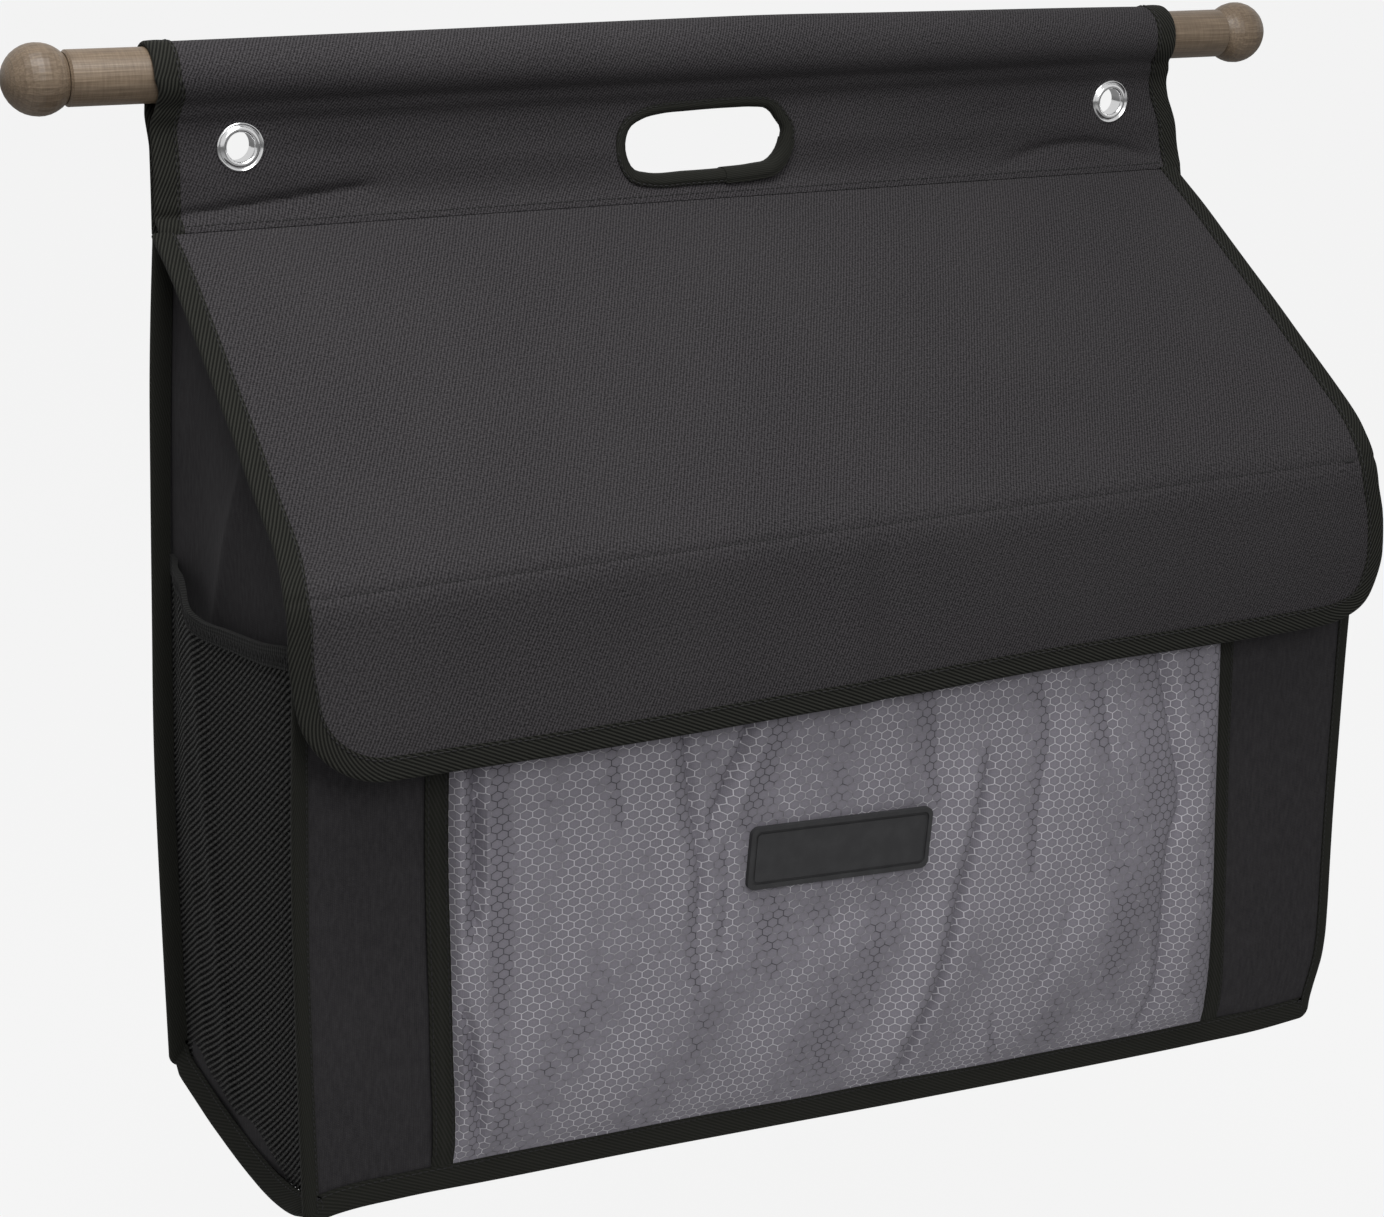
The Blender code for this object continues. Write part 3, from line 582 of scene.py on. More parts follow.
# %% Build a sheet from a grid of points


def add_mesh(name, points, faces, corner_uv, body=None, slot=None, material=None):
    """A smooth-shaded mesh object from points in millimetres, with its flat-cloth coordinates."""
    mesh = bpy.data.meshes.new(name)
    mesh.from_pydata((np.asarray(points) * MM).tolist(), [], faces)
    mesh.validate()
    uv = mesh.uv_layers.new(name="cloth")
    uv.uv.foreach_set("vector", (np.asarray(corner_uv, np.float32) * MM).ravel())
    mesh.shade_smooth()
    mesh.set_sharp_from_angle(angle=radians(50))
    piece = put(name, mesh)
    mesh.materials.append(material or FINISH[slot])
    if body:
        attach(piece, body)
    return piece


def sheet_piece(name, outer, thickness, body, slot, flat=None):
    """A sheet of cloth whose outer face is this grid of points."""
    rows, columns = outer.shape[:2]
    inner = outer - thickness * grid_normals(outer)
    if flat is None:
        flat = np.stack(np.meshgrid(lengths_along(outer, 1), -lengths_along(outer, 0)), axis=2)
    index = np.arange(rows * columns).reshape(rows, columns)
    quads = np.stack([index[:-1, :-1], index[1:, :-1], index[1:, 1:], index[:-1, 1:]], axis=2).reshape(-1, 4)
    under = quads[:, ::-1] + rows * columns
    ring = np.concatenate([index[0, :-1], index[:-1, -1], index[-1, :0:-1], index[:0:-1, 0]])
    ahead = np.roll(ring, -1)
    rim = np.stack([ring, ahead, ahead + rows * columns, ring + rows * columns], axis=1)
    faces = np.concatenate([quads, under, rim])
    both = np.concatenate([flat.reshape(-1, 2)] * 2)
    points = np.concatenate([outer.reshape(-1, 3), inner.reshape(-1, 3)])
    print(name, "has", len(faces), "faces")
    return add_mesh(name, points, faces.tolist(), both[faces].reshape(-1, 2), body, slot)


# %% [markdown]
# ## Folded tape and threads
#
# A binding is one strip folded over a raw edge. It has the same C-shaped section all the way along, so it
# is swept: at each point of the edge, the section is drawn in the plane of two directions, one into the
# cloth and one out of its face. A curve with a bevel could do that, but it would twist at corners. Threads
# are short beads laid along a line, half sunk in the cloth, because at this distance a stitch is a dent and
# a glint rather than a rope.

# %% The section of a folded tape


def section(width, gap, tape, puff=0.25):
    """The C of a folded tape, as (into the cloth, out of its face), and each point's distance from the fold.

    gap is half the opening, tape the cloth's thickness, and puff how far the tape's face swells.
    """
    turns = np.linspace(pi / 2, 3 * pi / 2, 9)
    steps = np.linspace(1, 0, 7)[:-1]
    swell = puff * np.sin(pi * np.clip(steps * 1.25, 0, 1))
    outer = [(width * s, gap + tape + p) for s, p in zip(steps, swell)]
    outer += [((gap + tape) * cos(t), (gap + tape) * sin(t)) for t in turns]
    outer += [(width * s, -gap - tape - p) for s, p in zip(steps[::-1], swell[::-1])]
    inner = [(width, -gap)] + [(gap * cos(t), gap * sin(t)) for t in turns[::-1]] + [(width, gap)]
    run = run_along(np.array(outer))
    run -= run[len(steps) + len(turns) // 2]
    return np.array(outer + inner), np.concatenate([run, np.linspace(run[-1], run[0], len(inner))])


print("tape section of", len(section(10, 1, 1)[0]), "points")

# %% Sweep a section along an edge


def faces_inwards(points, quads):
    """Whether a body's faces are turned inside out. Its volume is then negative."""
    a, b, c, d = (points[quads[:, i]] for i in range(4))
    return np.einsum("ij,ij->i", a, np.cross(b, c) + np.cross(c, d)).sum() < 0


def turned_over(faces, corner_uv):
    """The same faces seen from their other side, with the flat-cloth coordinates of their corners."""
    start, turned = 0, []
    for face in faces:
        turned += corner_uv[start:start + len(face)][::-1]
        start += len(face)
    return [face[::-1] for face in faces], turned


def sweep(name, path, inward, outward, shape, body, slot, closed=False):
    """A strip with this section along a path. inward and outward are its two directions at each point."""
    loop, across = shape
    rings, sides = len(path), len(loop)
    points = path[:, None] + inward[:, None] * loop[None, :, :1] + outward[:, None] * loop[None, :, 1:]
    points = points.reshape(-1, 3)
    run = run_along(np.concatenate([path, path[:1]]) if closed else path)
    k, j = (part.ravel() for part in np.meshgrid(np.arange(len(run) - 1), np.arange(sides), indexing="ij"))
    corners = [(k, j), (k + 1, j), (k + 1, j + 1), (k, j + 1)]
    quads = np.stack([(a % rings) * sides + b % sides for a, b in corners], axis=1)
    wide = np.append(across, across[0])
    uv = np.stack([np.stack([run[a], wide[b]], axis=1) for a, b in corners], axis=1).reshape(-1, 2)
    faces, uv = quads.tolist(), uv.tolist()
    if not closed:
        for ring, turn in ((0, 1), (rings - 1, -1)):
            faces.append([ring * sides + i for i in range(sides)][::turn])
            uv += [(run[-1 if ring else 0], across[i]) for i in range(sides)][::turn]
    if faces_inwards(points, quads):
        faces, uv = turned_over(faces, uv)
    print(name, "has", len(faces), "faces")
    return add_mesh(name, points, faces, uv, body, slot)


# %% Lay stitches
# Places along a bead of thread, and how fat it is there.
BEAD = [(-1, 0.0), (-0.7, 1.0), (0.7, 1.0), (1, 0.0)]
BEAD_SIDES = 6


def threads(name, ends, lift, thick, body):
    """One bead of thread for each pair of points. lift is the direction out of the cloth at each."""
    first, last = ends
    middle, reach = (first + last) / 2, (last - first) / 2
    side = np.cross(lift, unit(reach))
    points, faces = [], []
    for share, fat in BEAD:
        for t in np.arange(BEAD_SIDES) * 2 * pi / BEAD_SIDES:
            radius = (side * cos(t) + lift * (sin(t) * 0.8 + 0.1)) * thick * fat
            points.append(middle + reach * share + radius)
    points = np.stack(points, axis=1)
    for ring in np.arange(len(BEAD) - 1) * BEAD_SIDES:
        for i in range(BEAD_SIDES):
            j = (i + 1) % BEAD_SIDES
            faces.append([ring + i, ring + j, ring + BEAD_SIDES + j, ring + BEAD_SIDES + i])
    first_corners = np.arange(len(points))[:, None, None] * len(BEAD) * BEAD_SIDES
    every = (np.array(faces)[None] + first_corners).reshape(-1, 4)
    print(name, "has", len(points), "threads")
    return add_mesh(name, points.reshape(-1, 3), every.tolist(), np.zeros((len(every) * 4, 2)), body,
                    material=sewing_thread)


def stitches(name, path, lift, body, pitch=3.2, length=2.3, thick=0.32):
    """A line of straight stitches, one every pitch millimetres."""
    run = run_along(path)
    count = max(2, int(run[-1] / pitch))
    at = (np.arange(count) + 0.5) / count * run[-1]
    middle, ahead, out = (np.stack([np.interp(at, run, values[:, i]) for i in range(3)], axis=1)
                          for values in (path, np.gradient(path, axis=0), np.broadcast_to(lift, path.shape)))
    half = unit(ahead) * length / 2
    return threads(name, (middle - half, middle + half), unit(out), thick, body)


# %% [markdown]
# ## The header
#
# The header is one cloth. It rises up the back, wraps the pole and comes down the front to the flap's seam,
# and the two layers are stitched together below the pole. Its front is not flat: it tucks in under the
# pole, bellies, and kicks forward over the seam. Its side edges are waisted. The section is a smooth line
# in the side view, and the same line is stretched from one end of the pole to the other.

# %% The header's section and its waisted sides
POLE_WRAP = 15.6  # from the pole's axis to the outer face of the cloth round it
HEADER_LEFT = [0, 7, 13, 20, 34, 50, 74], [297.2, 295.0, 294.8, 296.2, 295.9, 295.8, 295.8]
HEADER_RIGHT = ([0, 13, 20, 27, 33, 41, 50, 58, 66, 74],
                [286.9, 288.6, 290.8, 292.0, 293.6, 296.9, 299.9, 301.3, 301.9, 300.8])
wrap_angles = np.radians(np.linspace(-52, 232, 36))
# The rest of the line in the side view, as (y, z): up the back, and down the front to the seam.
back_leg = [(0.0, -74.0), (0.0, -62), (0.0, -50), (0.1, -40), (0.4, -31), (2.2, -24.5), (5.8, -18.2)]
front_leg = [(-7.4, -18.0), (-5.0, -22.6), (-4.3, -27), (-4.3, -31), (-4.3, -35), (-4.6, -40), (-5.2, -46),
             (-5.2, -52), (-5.4, -58), (-6.4, -63), (-8.4, -67.5), (-10.6, -71), (-11.2, -72.6)]
wrap = [(POLE_WRAP * cos(t), POLE_WRAP * sin(t)) for t in wrap_angles]


def smooth_line(points, spacing):
    """Even steps along a smooth line through these points."""
    points = np.array(points, float)
    run = run_along(points)
    at = np.linspace(0, run[-1], int(run[-1] / spacing) + 1)
    return np.stack([curve(at, run, points[:, i]) for i in range(points.shape[1])], axis=1)


header_line = smooth_line(back_leg + wrap + front_leg, 1.6)
print("the header's line is", round(run_along(header_line)[-1], 1), "mm long in the side view")

# %% The header's cloth


def middle_of(node):
    """The middle of a CAD node's box, in millimetres."""
    low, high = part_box(node)
    return (np.array(low + high) / 2 / MM).round(3)


EYELET_X, _, EYELET_Z = middle_of("eyelet_right")


def header_place(row, share):
    """A point of the header, by the row of its line and the place from its left edge, -1, to its right, 1."""
    y, z = header_line[row.astype(int)].transpose(2, 0, 1)
    drop = np.clip(-z, 0, 74)
    x = share * np.where(share < 0, curve(drop, *HEADER_LEFT), curve(drop, *HEADER_RIGHT))
    front = (row > len(header_line) * 0.55) & (z < -22)
    # The cloth lies flat round the eyelets, and elsewhere it has two creases that run in from the sides.
    calm = soft_step((np.abs(np.abs(x) - EYELET_X) - 13) / 12 + np.maximum(0, -z - 47) / 6)
    belly = soft_step((-z - 26) / 14) * soft_step((71 + z) / 7)
    left_crease = np.exp(-np.abs((z + 60.5 - (x + 225) * 0.09) / 3.2) ** 1.5) * soft_step((-x - 178) / 22)
    right_crease = np.exp(-np.abs((z + 57 + ((x - 232) / 16) ** 2) / 3.4) ** 1.5) * soft_step((x - 150) / 60)
    creases = ripple(x, z, 3, 0.55, 45, 180) - 3.6 * left_crease - 2.4 * right_crease
    y = y - np.where(front, creases * belly * calm, 0)
    lift = curve(x, [-296, -184, -21, 23, 114, 262, 300], [-0.6, 0.5, 2.2, 2.6, 1.9, 0.6, 0.0])
    return x, y, z + lift * soft_step((z + 6) / 18)


header_grid = grid_of(np.arange(len(header_line)), np.linspace(-1, 1, 150), header_place)
header_cloth = sheet_piece("header_cloth", header_grid, 1.7, "bag", "charcoal_twill")
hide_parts("header_sleeve")

# %% [markdown]
# ## Holes in the header
#
# The hand hole is cut through both layers, and after years of hands it is no longer a neat slot: its upper
# left corner sags and its right end is dented. The holes could be left open when the grid is made, but
# their edges would be stepped. A Boolean modifier cuts a clean edge, and it is applied at once, so that
# only the mesh is left.

# %% Cut the hand hole and the eyelet holes
HAND_HOLE = [(-48.4, -43.0), (-46.2, -35.6), (-38.6, -31.2), (-28.6, -29.2), (-13.2, -28.4), (12, -27.8),
             (26, -28.0), (33.4, -29.0), (37.4, -31.8), (39.4, -34.6), (43.6, -40.2), (43.2, -45.0),
             (41.0, -50.8), (36.4, -55.6), (26.4, -57.4), (9.6, -58.4), (-13.0, -58.8), (-36.0, -58.4),
             (-43.6, -56.2), (-47.2, -50.2)]
TAPE_COVER = 2.6  # how far the cloth's cut edge lies inside the tape
EYELET_CUT = 7.6  # the radius of the hole cut for an eyelet
CUT_REACH = 30


def closed_line(points, count):
    """A smooth closed line through these points, in equal steps."""
    points = np.array(points + points[:1], float)
    run = run_along(points)
    ahead, behind = run[1:4] + run[-1], run[-4:-1] - run[-1]
    xs = np.concatenate([behind, run, ahead])
    ys = np.concatenate([points[-4:-1], points, points[1:4]])
    at = np.linspace(0, run[-1], count, endpoint=False)
    return np.stack([curve(at, xs, ys[:, i]) for i in range(2)], axis=1)


def cut(piece, outline):
    """Cuts a hole with this outline, (x, z), straight through along Y."""
    count = len(outline)
    ahead = np.roll(outline, -1, axis=0)
    if (outline[:, 0] * ahead[:, 1] - outline[:, 1] * ahead[:, 0]).sum() > 0:
        outline = outline[::-1]
    points = [(x, y, z) for y in (-CUT_REACH, CUT_REACH) for x, z in outline]
    faces = [[i, (i + 1) % count, count + (i + 1) % count, count + i] for i in range(count)]
    faces += [list(range(count))[::-1], list(range(count, 2 * count))]
    mesh = bpy.data.meshes.new("cutter")
    mesh.from_pydata((np.array(points) * MM).tolist(), [], faces)
    cutter = put("cutter", mesh)
    modifier = piece.modifiers.new("hole", "BOOLEAN")
    modifier.object, modifier.operation, modifier.solver = cutter, "DIFFERENCE", "EXACT"
    settle(piece)
    bpy.data.objects.remove(cutter)


def settle(piece):
    """Turns a piece's modifiers into plain mesh."""
    mesh = bpy.data.meshes.new_from_object(piece.evaluated_get(bpy.context.evaluated_depsgraph_get()))
    piece.modifiers.clear()
    piece.data = mesh


seen_edge = closed_line(HAND_HOLE, 72)
away = np.gradient(np.concatenate([seen_edge[-1:], seen_edge, seen_edge[:1]]), axis=0)[1:-1]
away = unit(np.stack([-away[:, 1], away[:, 0]], axis=1))
away *= np.sign((away * (seen_edge - seen_edge.mean(0))).sum())
hand_hole = seen_edge + away * TAPE_COVER
cut(header_cloth, hand_hole)
turns = np.arange(40) * 2 * pi / 40
for x in (-EYELET_X, EYELET_X):
    cut(header_cloth, np.array([x, EYELET_Z]) + EYELET_CUT * np.stack([np.cos(turns), np.sin(turns)], axis=1))
print("header cloth has", len(header_cloth.data.polygons), "faces")

# %% [markdown]
# ## The header's tapes
#
# A ribbed tape is folded over each side edge of the header, from the flap's seam up over the pole and down
# the back. A thicker one rings the hand hole, where the hand pulls, and its two ends overlap at the lower
# right. All of them are the same section swept along different edges.

# %% Bind the header's sides
SIDES = ("left", -1), ("right", 1)
header_normals = grid_normals(header_grid)
for name, side in SIDES:
    column = 0 if side < 0 else -1
    edge = header_grid[:, column] - header_normals[:, column] * 0.85
    edge = np.concatenate([edge, edge[-1:] + [0, -1.2, -4.5]])
    out = np.concatenate([header_normals[:, column], header_normals[-1:, column]])
    inward = same((-side, 0, 0), len(edge))
    tape = sweep(f"header_tape_{name}_cloth", edge, inward, out, section(11.0, 0.9, 0.65, puff=0.2), "bag",
                 "binding_tape")
    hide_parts(f"header_tape_{name}")
    line = (edge + inward * 9.6 + out * 1.65)[:-1]
    stitches(f"header_tape_{name}_stitches", line, header_normals[:, column], "bag")

# %% Ring the hand hole
above, below = np.clip(away[:, 1], 0, 1) ** 2, np.clip(-away[:, 1], 0, 1) ** 2
right_of, left_of = np.clip(away[:, 0], 0, 1) ** 2, np.clip(-away[:, 0], 0, 1) ** 2
reach = 0.68 * below + 0.56 * above + 0.62 * left_of + 0.68 * right_of  # the tape's width differs by side
rim = seen_edge + away * 3.1 * reach[:, None]
hole_front = np.stack([rim[:, 0], -3.0 - 1.4 * below, rim[:, 1]], axis=1)
outwards = np.stack([away[:, 0], 0 * below, away[:, 1]], axis=1) * reach[:, None]
facing = same((0, -1, 0), len(away)) * (1 + 0.45 * below)[:, None]
hole_tape = sweep("hand_hole_tape_cloth", hole_front, outwards, facing,
                  section(6.6, 2.1, 1.0, puff=0.5), "bag", "binding_tape", closed=True)
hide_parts("hand_hole_tape")
end = np.flatnonzero((rim[:, 0] > 7) & (rim[:, 1] < -44))  # the overlap, at the lower right
tape_end = sweep("hand_hole_tape_end", hole_front[end], outwards[end], facing[end],
                 section(7.4, 2.75, 1.0, puff=0.4), "bag", "binding_tape")
stitches("hand_hole_stitches", hole_front + outwards * 5.4 + facing * 3.3, facing, "bag")
print("hand hole is", np.ptp(hand_hole, axis=0).round(1).tolist(), "mm")

# %% [markdown]
# ## Eyelets
#
# An eyelet is a turned part: one outline, spun round an axis. Its rim stands up, a groove runs inside the
# rim, and the barrel goes down through both layers of cloth. Blender's Screw modifier can spin an outline.
# Here the rings of points are written out, because their number of steps then fits the small circle.

# %% Spin the two eyelets
EYELET = [(7.3, -7.5), (7.1, -2.0), (6.9, 0.6), (7.1, 1.3), (7.6, 1.8), (8.3, 2.0), (9.2, 1.8), (9.8, 1.2),
          (10.2, 0.9), (10.6, 1.3), (11.1, 1.6), (11.6, 1.4), (11.9, 0.8), (11.9, 0.2), (11.5, -0.4),
          (8.4, -0.5), (8.2, -7.5)]
SPIN_STEPS = 72


def spin(name, centre, outline, body, slot):
    """A ring with this outline, (radius, out of the cloth), spun round an axis that points to the front."""
    turns = np.arange(SPIN_STEPS) * 2 * pi / SPIN_STEPS
    radial = np.stack([np.cos(turns), 0 * turns, np.sin(turns)], axis=1)
    shape = np.array(outline + [outline[0]])
    return sweep(name, same(centre, SPIN_STEPS), radial, same((0, -1, 0), SPIN_STEPS),
                 (shape[:-1], run_along(shape)[:-1]), body, slot, closed=True)


for name, side in SIDES:
    ring = spin(f"eyelet_{name}_ring", (side * EYELET_X, -4.3, EYELET_Z), EYELET, "bag", "nickel")
    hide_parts(f"eyelet_{name}")
print("each eyelet is", 2 * max(radius for radius, _ in EYELET), "mm across")

# %% [markdown] ## The flap and its drop  The flap is one cloth from the header's seam to the lower edge of
# the drop, with a stiff board between it and the lining. The CAD has the flap and the drop as two bodies
# that meet at the stitched fold. In the photograph the fold is a soft round, the right side stands up from
# the straight line and the left side sinks.

# %% The flap's surface
joint_at = {joint["name"]: np.array(joint.get("pos_m", (0, 0, 0))) / MM for joint in frame["joints"]}
HINGE = joint_at["flap_lift"][1:]  # the header's seam in the side view, as (y, z)
SLOPE = radians(34.9)
FLAP_RUN = 218.1  # from the seam to the fold
DROP_TILT = radians(10)
DROP_RUN = 83.0  # from the fold to the drop's lower edge
FOLD_ROUND = 24.0  # about the fold's radius
FLAP_HALF = 299.0
FLAP_END = FLAP_RUN + DROP_RUN
DROP_CORNER = 35.0
STACK = 4.0  # how thick the flap is with its board and lining


def flap_line(s):
    """The flap's middle line in the side view, (y, z), and its outward direction, s mm from the seam."""
    turn = (pi / 2 - DROP_TILT) - SLOPE
    tangent = FOLD_ROUND * np.tan(turn / 2)
    bend = np.clip((s - FLAP_RUN + tangent) / (2 * tangent), 0, 1)
    heading = SLOPE + turn * bend
    steps = np.diff(s, prepend=s[0])
    y = HINGE[0] - np.cumsum(np.cos(heading) * steps) - s[0] * cos(SLOPE)
    z = HINGE[1] - np.cumsum(np.sin(heading) * steps) - s[0] * sin(SLOPE)
    return y, z, heading


line_s = np.arange(-2, FLAP_END + 0.5, 0.5)
line_y, line_z, line_heading = flap_line(line_s)
print("in the side view the drop ends at", np.round((line_y[-1], line_z[-1]), 1).tolist())

# %% From the flat pattern to the hanging flap
# How far the cloth stands out of that line at its left edge, middle and right edge, down from the seam.
BULGE_AT = [0, 25, 60, 110, 160, 200, 218, 235, 260, 285, 301]
BULGE_LEFT = [0, 2.2, 2.4, 1.8, 1.0, 0.6, 0.8, 1.2, 2.5, 5, 6.5]
BULGE_MIDDLE = [0, 1.6, 2.6, 3.2, 3.0, 2.6, 2.8, 3.4, 3.4, 3.0, 2.8]
BULGE_RIGHT = [0, 2.4, 5, 8.2, 9, 9, 8.4, 8.2, 6.4, 1.5, -1.5]
# Where its edges are: half the width by distance from the seam, and the length by place from left to right.
EDGE_LEFT = ([0, 41, 124, 166, 183, 200, 215, 227, 251, 261, 301],
             [299, 299.4, 299.9, 301, 301.1, 302.6, 305.5, 306, 306.7, 305.8, 304.5])
EDGE_RIGHT = ([0, 27, 52, 77, 107, 122, 138, 153, 169, 198, 215, 227, 243, 259, 301],
              [296.9, 296.9, 296.3, 296.1, 296.0, 296.0, 296.3, 297.2, 298.1, 298.1, 295.5, 295.4, 298.4,
               299.6, 299.8])
EDGE_LOWER = ([-300, -253, -164, -84, 11, 88, 183, 250, 300],
              [297.8, 298.6, 299.9, 299.8, 298.9, 297.9, 299.2, 299.4, 298.8])


def half_width(s, half, end):
    """Half the flap's width, s mm from the seam. The drop's two lower corners are round."""
    past = np.clip(s - (end - DROP_CORNER), 0, DROP_CORNER)
    return half - DROP_CORNER + np.sqrt(np.maximum(DROP_CORNER ** 2 - past ** 2, 0))


def flap_trim(s, x):
    """From the flat pattern to the real cloth, whose sides and lower edge are not quite straight."""
    wide = np.where(x < 0, curve(s, *EDGE_LEFT), curve(s, *EDGE_RIGHT)) / FLAP_HALF
    longer = (curve(x, *EDGE_LOWER) - FLAP_END) * soft_step((s - 222) / 79)
    square = 2.0 * np.exp(-((s - 292) / 13) ** 2 - ((x - 290) / 13) ** 2)  # the right corner is less round
    return s + longer + square, x * (1 + (wide - 1) * (x / FLAP_HALF) ** 2) + square


def flap_place(s, x, offset):
    """A point on the flap, this far out from its middle. Its layers close up at the edges and the seam."""
    inside = np.minimum(np.minimum(half_width(s, FLAP_HALF, FLAP_END) - np.abs(x), FLAP_END - s), s + 13)
    offset = offset * (0.45 + 0.55 * soft_step(inside / 24))
    s, x = flap_trim(s, x)
    share = x / BAG_HALF
    left, middle, right = (curve(s, BULGE_AT, bulge) for bulge in (BULGE_LEFT, BULGE_MIDDLE, BULGE_RIGHT))
    bulge = middle + (right - left) / 2 * share + ((right + left) / 2 - middle) * share ** 2
    # A crease runs down the drop's middle, the cloth dips below the seam, and the fold has a sewn groove.
    crease = 1.2 * np.exp(-((x + 26) / 14) ** 2) - 1.5 * np.exp(-((x + 8) / 8) ** 2)
    dip = 0.9 * np.exp(-((s - 12) / 4.5) ** 2 - ((x - 40) / 110) ** 2)
    groove = 0.7 * np.exp(-((s - FLAP_RUN) / 1.3) ** 2)
    out = offset + bulge + crease * soft_step((s - 205) / 25) - dip - groove
    out = out + ripple(x, s, 11, 0.35, 60, 240) * soft_step(s / 30)
    heading = np.interp(s, line_s, line_heading)
    return (x, np.interp(s, line_s, line_y) - np.sin(heading) * out,
            np.interp(s, line_s, line_z) + np.cos(heading) * out)


print("the flap's left corner hangs at", np.round(flap_place(FLAP_END, -FLAP_HALF, 0), 1).tolist())


def flap_sheet(name, offset, thickness, half, start, end, slot):
    """A layer of the flap. Its rows bunch up at the fold and at the round corners."""
    rows = np.unique(np.concatenate([np.linspace(start, end - DROP_CORNER, 74),
                                     np.linspace(FLAP_RUN - 12, FLAP_RUN + 12, 21),
                                     end - DROP_CORNER + DROP_CORNER * np.sin(np.linspace(0, pi / 2, 18))]))
    rows = rows[(rows >= start) & (rows <= end)]
    share = np.linspace(-1, 1, 120)
    grid = grid_of(rows, share, lambda s, c: flap_place(s, c * half_width(s, half, end), offset))
    s, c = np.meshgrid(rows, share, indexing="ij")
    flat = np.stack([c * half_width(s, half, end), -s], axis=2)
    print(name, "is", size_of(grid), "mm")
    return sheet_piece(name, grid, thickness, None, slot, flat)


def across_fold(piece):
    """Bakes a piece's placement into its mesh."""
    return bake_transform(piece)


flap_cover = flap_sheet("flap_cloth", STACK / 2, 1.2, FLAP_HALF - 1.0, 0, FLAP_END - 1.0, "charcoal_twill")
across_fold(flap_cover)
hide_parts("flap_cover", "drop_cover")

# %% [markdown]
# ## What is under the flap's cloth
#
# The lining is a second, thinner cloth on the inside, and the board between them stops at the fold, so that
# the drop hangs limp. They show when the flap is lifted. They follow the same surface, a few millimetres
# further in, so nothing pokes through.

# %% The lining and the board
flap_lining = flap_sheet("flap_lining_cloth", 1.2 - STACK / 2, 1.1, FLAP_HALF - 1.5, 1.5, FLAP_END - 1.5,
                         "plain_lining")
across_fold(flap_lining)
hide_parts("flap_lining", "drop_lining")
board_grid = grid_of(np.linspace(6, FLAP_RUN - 16, 40), np.linspace(-286, 286, 60),
                     lambda s, x: flap_place(s, x, 0.9))
flap_board = sheet_piece("flap_board_sheet", board_grid, 1.5, "flap", "stiffener")
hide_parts("flap_board")
print("the board is", size_of(board_grid), "mm")

# %% [markdown]
# ## The tape round the flap
#
# One tape starts at the header, runs down the left edge, round the drop's two corners and up the right
# edge. It is a single strip here too, so it has to bend at the fold with the cloth. Its path is the outline
# of the flap's middle surface, and its two directions come from that surface: one along it, towards its
# inside, and one straight out.

# %% Bind the flap
corner_turns = np.linspace(0, pi / 2, 22)
left_side = [(s, -FLAP_HALF) for s in np.concatenate([np.linspace(-1.5, 204, 62), np.linspace(206, 234, 20),
                                                      np.linspace(236, FLAP_END - DROP_CORNER, 6)])]
left_corner = [(FLAP_END - DROP_CORNER + DROP_CORNER * sin(t), -FLAP_HALF + DROP_CORNER * (1 - cos(t)))
               for t in corner_turns[1:]]
lower = [(FLAP_END, x) for x in np.linspace(-FLAP_HALF + DROP_CORNER, 0, 50)[1:]]
outline = left_side + left_corner + lower
outline = np.array(outline + [(s, -x) for s, x in outline[-2::-1]])


def on_flap(sx, offset):
    """Points on the flap, from rows of (distance from the seam, place along it)."""
    return np.stack(flap_place(sx[:, 0], sx[:, 1], offset), axis=1)


def out_of_flap(sx):
    """The way out of the flap's cloth at each of these places."""
    return unit(on_flap(sx, 1.0) - on_flap(sx, 0.0))


path = on_flap(outline, 0.0)
flap_out = out_of_flap(outline)
step = np.gradient(outline, axis=0)
into = unit(np.stack([-step[:, 1], step[:, 0]], axis=1))
into *= np.sign((into * (np.array([FLAP_END / 2, 0]) - outline)).sum(1))[:, None]
flap_in = unit(on_flap(outline + into * 0.5, 0.0) - path)
flap_tape = sweep("flap_tape_cloth", path, flap_in, flap_out, section(9.2, 1.15, 0.65, puff=0.2), None,
                  "binding_tape")
across_fold(flap_tape)
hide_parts("flap_binding_left", "flap_binding_right", "drop_binding")
inset = on_flap(outline + into * 7.8, 0.0)
across_fold(stitches("flap_tape_stitches", inset + flap_out * 1.95, flap_out, None))
print("the flap's tape is", round(run_along(path)[-1]), "mm long")

# %% [markdown]
# ## The fold's stitching
#
# Two lines of sewing hold the flap: one along the header's seam and one along the fold, which ends in a bar
# tack at the right, a dense little block of thread. Both sit in a shallow groove, because tight thread
# pulls the cloth in.

# %% Sew the seam and the fold
fold_line = np.array([(FLAP_RUN, x) for x in np.linspace(-286, 286, 200)])
fold_at = on_flap(fold_line, STACK / 2 + 0.05)
across_fold(stitches("fold_stitches", fold_at, out_of_flap(fold_line), None, pitch=3.0, length=2.1))
tack = np.array([(FLAP_RUN + 0.9 * (-1) ** i, 279 + 0.5 * i) for i in range(14)])
tack_at = on_flap(tack, STACK / 2 + 0.3)
across_fold(threads("fold_bar_tack", (tack_at[:-1], tack_at[1:]), out_of_flap(tack)[:-1], 0.34, None))

SEAM_STITCH_Z = -69.8
off_line = np.abs(header_line[:, 1] - SEAM_STITCH_Z)
off_line[header_line[:, 0] > -2] = np.inf  # the back of the header doesn't count
seam_row = off_line.argmin()
seam_out = header_normals[seam_row, 3:-3]
stitches("seam_stitches", header_grid[seam_row, 3:-3] + seam_out * 0.1, seam_out, "bag", pitch=3.0,
         length=2.1, thick=0.36)
print("the seam's stitches are at height", round(header_line[seam_row, 1], 1))

